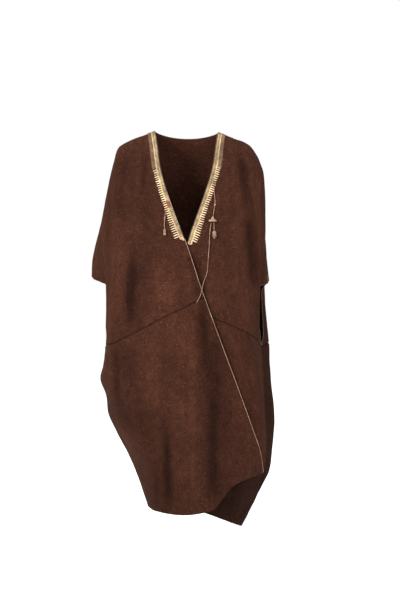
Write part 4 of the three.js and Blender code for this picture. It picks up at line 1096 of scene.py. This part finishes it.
# ------------------------------------------------------------------ ties
TIES = {
    "tie_right": [[-70, -300], [-71, -312], [-72, -323], [-73, -335], [-73.5, -348], [-72.5, -360]],
    "tie_left_top": [[95, -172], [97, -192], [99, -212], [101, -232], [103, -250], [104, -266], [102, -284],
                     [99, -301], [97, -317]],
    "tie_left_short": [[99, -337], [100, -347], [100, -357], [101, -368]],
    "tie_left_long": [[90, -341], [88, -354], [85.5, -376], [84, -400], [83, -425], [80.5, -453], [78.5, -484],
                      [76.5, -510], [72.5, -525], [66, -540], [61, -558], [57.5, -574], [53.5, -590],
                      [47.5, -604], [39.5, -619]],
}


def ring_centres(name, count):
    """The frame's tube for a tie: the middle of the solid at each of its route's points."""
    co = np.array([v.co[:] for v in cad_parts[name].data.vertices]) / MM
    out = []
    for x, z in TIES[name]:
        near = co[np.argsort(np.hypot(co[:, 0] - x, co[:, 2] - z))[:24]]
        out.append([x, (near[:, 1].min() + near[:, 1].max()) / 2, z])
    return np.array(out)


def turned(name, profile, centre, squash=0.7, lobes=0, twist=0.0, material=KNOT, sides=28):
    """A turned body with soft wound ridges."""
    prof = np.array(profile, float)
    s = np.linspace(0, 1, 34)
    t = np.linspace(0, 1, len(prof))
    pr = hermite(t, np.column_stack([prof, np.zeros(len(prof))]), s)[:, :2]
    ang = 2 * np.pi * np.arange(sides) / sides
    r = np.maximum(pr[:, 0], 0.02)[:, None] * (1 + 0.07 * np.cos(lobes * ang[None] + s[:, None] * twist))
    x, y = r * np.cos(ang), r * np.sin(ang) * squash
    z = np.repeat(pr[:, 1][:, None], sides, 1)
    v = np.stack([x, y, z], -1).reshape(-1, 3) + np.asarray(centre)
    idx = np.arange(len(s) * sides).reshape(len(s), sides)
    nx = np.roll(idx, -1, 1)
    f = np.stack([idx[:-1], idx[1:], nx[1:], nx[:-1]], -1).reshape(-1, 4)
    v = np.concatenate([v, [np.asarray(centre) + [0, 0, pr[0, 1]], np.asarray(centre) + [0, 0, pr[-1, 1]]]])
    c0, c1 = len(v) - 2, len(v) - 1
    t0 = np.stack([np.full(sides, c0), idx[0], nx[0]], -1)
    t1 = np.stack([np.full(sides, c1), nx[-1], idx[-1]], -1)
    return make_mesh(name, v, [f, np.concatenate([t0, t1])], None, material)


def centre_of(name):
    lo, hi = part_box(name)
    return [(lo[k] + hi[k]) / 2 / MM for k in range(3)], [(hi[k] - lo[k]) / MM for k in range(3)]


knot_shapes = {
    "tie_right_knot": ([[0, 11.5], [2.6, 10], [4.6, 6], [4.2, 0], [4.8, -6], [3.4, -11], [0, -12]], 6, 14),
    "tie_left_bead": ([[0, 9.5], [2.4, 9], [3.6, 4], [6, 0], [12.5, -3], [13, -7.5], [9, -9], [0, -9]], 9, 5),
    "tie_left_tassel": ([[0, 14.2], [4.5, 13], [6.8, 8], [6.6, 0], [7.2, -5], [4, -7], [2.2, -12], [0, -13]], 10, 4),
}
for name, (profile, lobes, twist) in knot_shapes.items():
    (cx, cy, cz), size = centre_of(name)
    hs = [h for _, h in profile]
    mid = (max(hs) + min(hs)) / 2
    ob = turned(name + "_wound", profile, (cx, cy, cz - mid), 0.7, lobes, twist, CORD if name == "tie_left_bead" else KNOT)
    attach(ob, "root")
    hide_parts(name)


def small_knot(name, tie, z, turns, fat, material):
    """A few turns of thread drawn tight round a tie cord."""
    line = resample(ring_centres(tie, len(TIES[tie])), 1.0)
    wraps = []
    for k in range(turns):
        c = line[np.argmin(np.abs(line[:, 2] - (z - 1.7 * k)))]
        ang = np.linspace(0, 2 * np.pi, 15)
        r = 1.9 + fat * math.sin(math.pi * (k + 0.5) / turns)
        ring = c + np.stack([r * np.cos(ang), r * 0.8 * np.sin(ang), 0.6 * np.sin(ang + k)], -1)
        wraps.append(tube_mesh(ring, 0.95, 6))
    put(name, wraps, material)


small_knot("tie_right_wrap", "tie_right", -319, 5, 1.3, KNOT)
small_knot("tie_left_wrap", "tie_left_top", -274, 3, 0.9, CORD)

for name, ends in (("tie_right", ["tie_right_knot", "tie_right_wrap"]), ("tie_left_top", ["tie_left_bead", "tie_left_wrap"]),
                   ("tie_left_short", ["tie_left_tassel"]), ("tie_left_long", [])):
    pts = ring_centres(name, len(TIES[name]))
    parts, line = ply_cord(pts, TIE_CORD, 2, 6.5, 8, 0.8)
    ob = put(name + "_ply", parts, CORD)
    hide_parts(name)

# ------------------------------------------------------------------ bar tacks at the ends of the left slit
tacks = []
for d0, count in ((0.036, 4), (0.488, 3)):
    for k in range(count):
        d = np.full(6, d0 + k * 0.0016)
        a = np.linspace(0.975, 0.999, 6)
        tacks.append(tube_mesh(lay(front_left, a, d, WALL / 2 + 0.6, 2.0), 0.6, 6))
put("slit_tack_left", tacks, TAN_THREAD)

# ------------------------------------------------------------------ stage
floor_z = -1.526
me = bpy.data.meshes.new("floor")
s = 14.0
me.from_pydata([(-s, -s, floor_z), (s, -s, floor_z), (s, s, floor_z), (-s, s, floor_z)], [], [(0, 1, 2, 3)])
floor = bpy.data.objects.new("floor", me)
bpy.context.scene.collection.objects.link(floor)
fm, nt, bsdf = new_material("floor")
bsdf.inputs["Base Color"].default_value = (0.93, 0.93, 0.93, 1)
bsdf.inputs["Emission Color"].default_value = (1, 1, 1, 1)
bsdf.inputs["Emission Strength"].default_value = 0.14
bsdf.inputs["Roughness"].default_value = 0.8
me.materials.append(fm)

world = bpy.data.worlds.new("world")
bpy.context.scene.world = world
world.use_nodes = True
world.node_tree.nodes["Background"].inputs[0].default_value = (1, 1, 1, 1)
world.node_tree.nodes["Background"].inputs[1].default_value = 1.0


def area_light(name, loc, aim, size, power, colour=(1, 1, 1)):
    data = bpy.data.lights.new(name, "AREA")
    data.shape = "RECTANGLE"
    data.size, data.size_y = size
    data.energy = power
    data.color = colour
    ob = bpy.data.objects.new(name, data)
    ob.location = loc
    ob.rotation_euler = (Vector(aim) - Vector(loc)).to_track_quat("-Z", "Y").to_euler()
    bpy.context.scene.collection.objects.link(ob)
    return ob


area_light("key", (-2.7, -2.7, 0.9), (0, 0, -0.55), (1.2, 1.2), 300, (1, 0.985, 0.96))
area_light("fill", (2.6, -2.9, 0.5), (0, 0, -0.55), (1.6, 1.6), 120)
area_light("top", (0.3, -1.4, 2.2), (0, 0, -0.6), (1.8, 1.8), 36)

bpy.context.scene.view_settings.view_transform = "Standard"
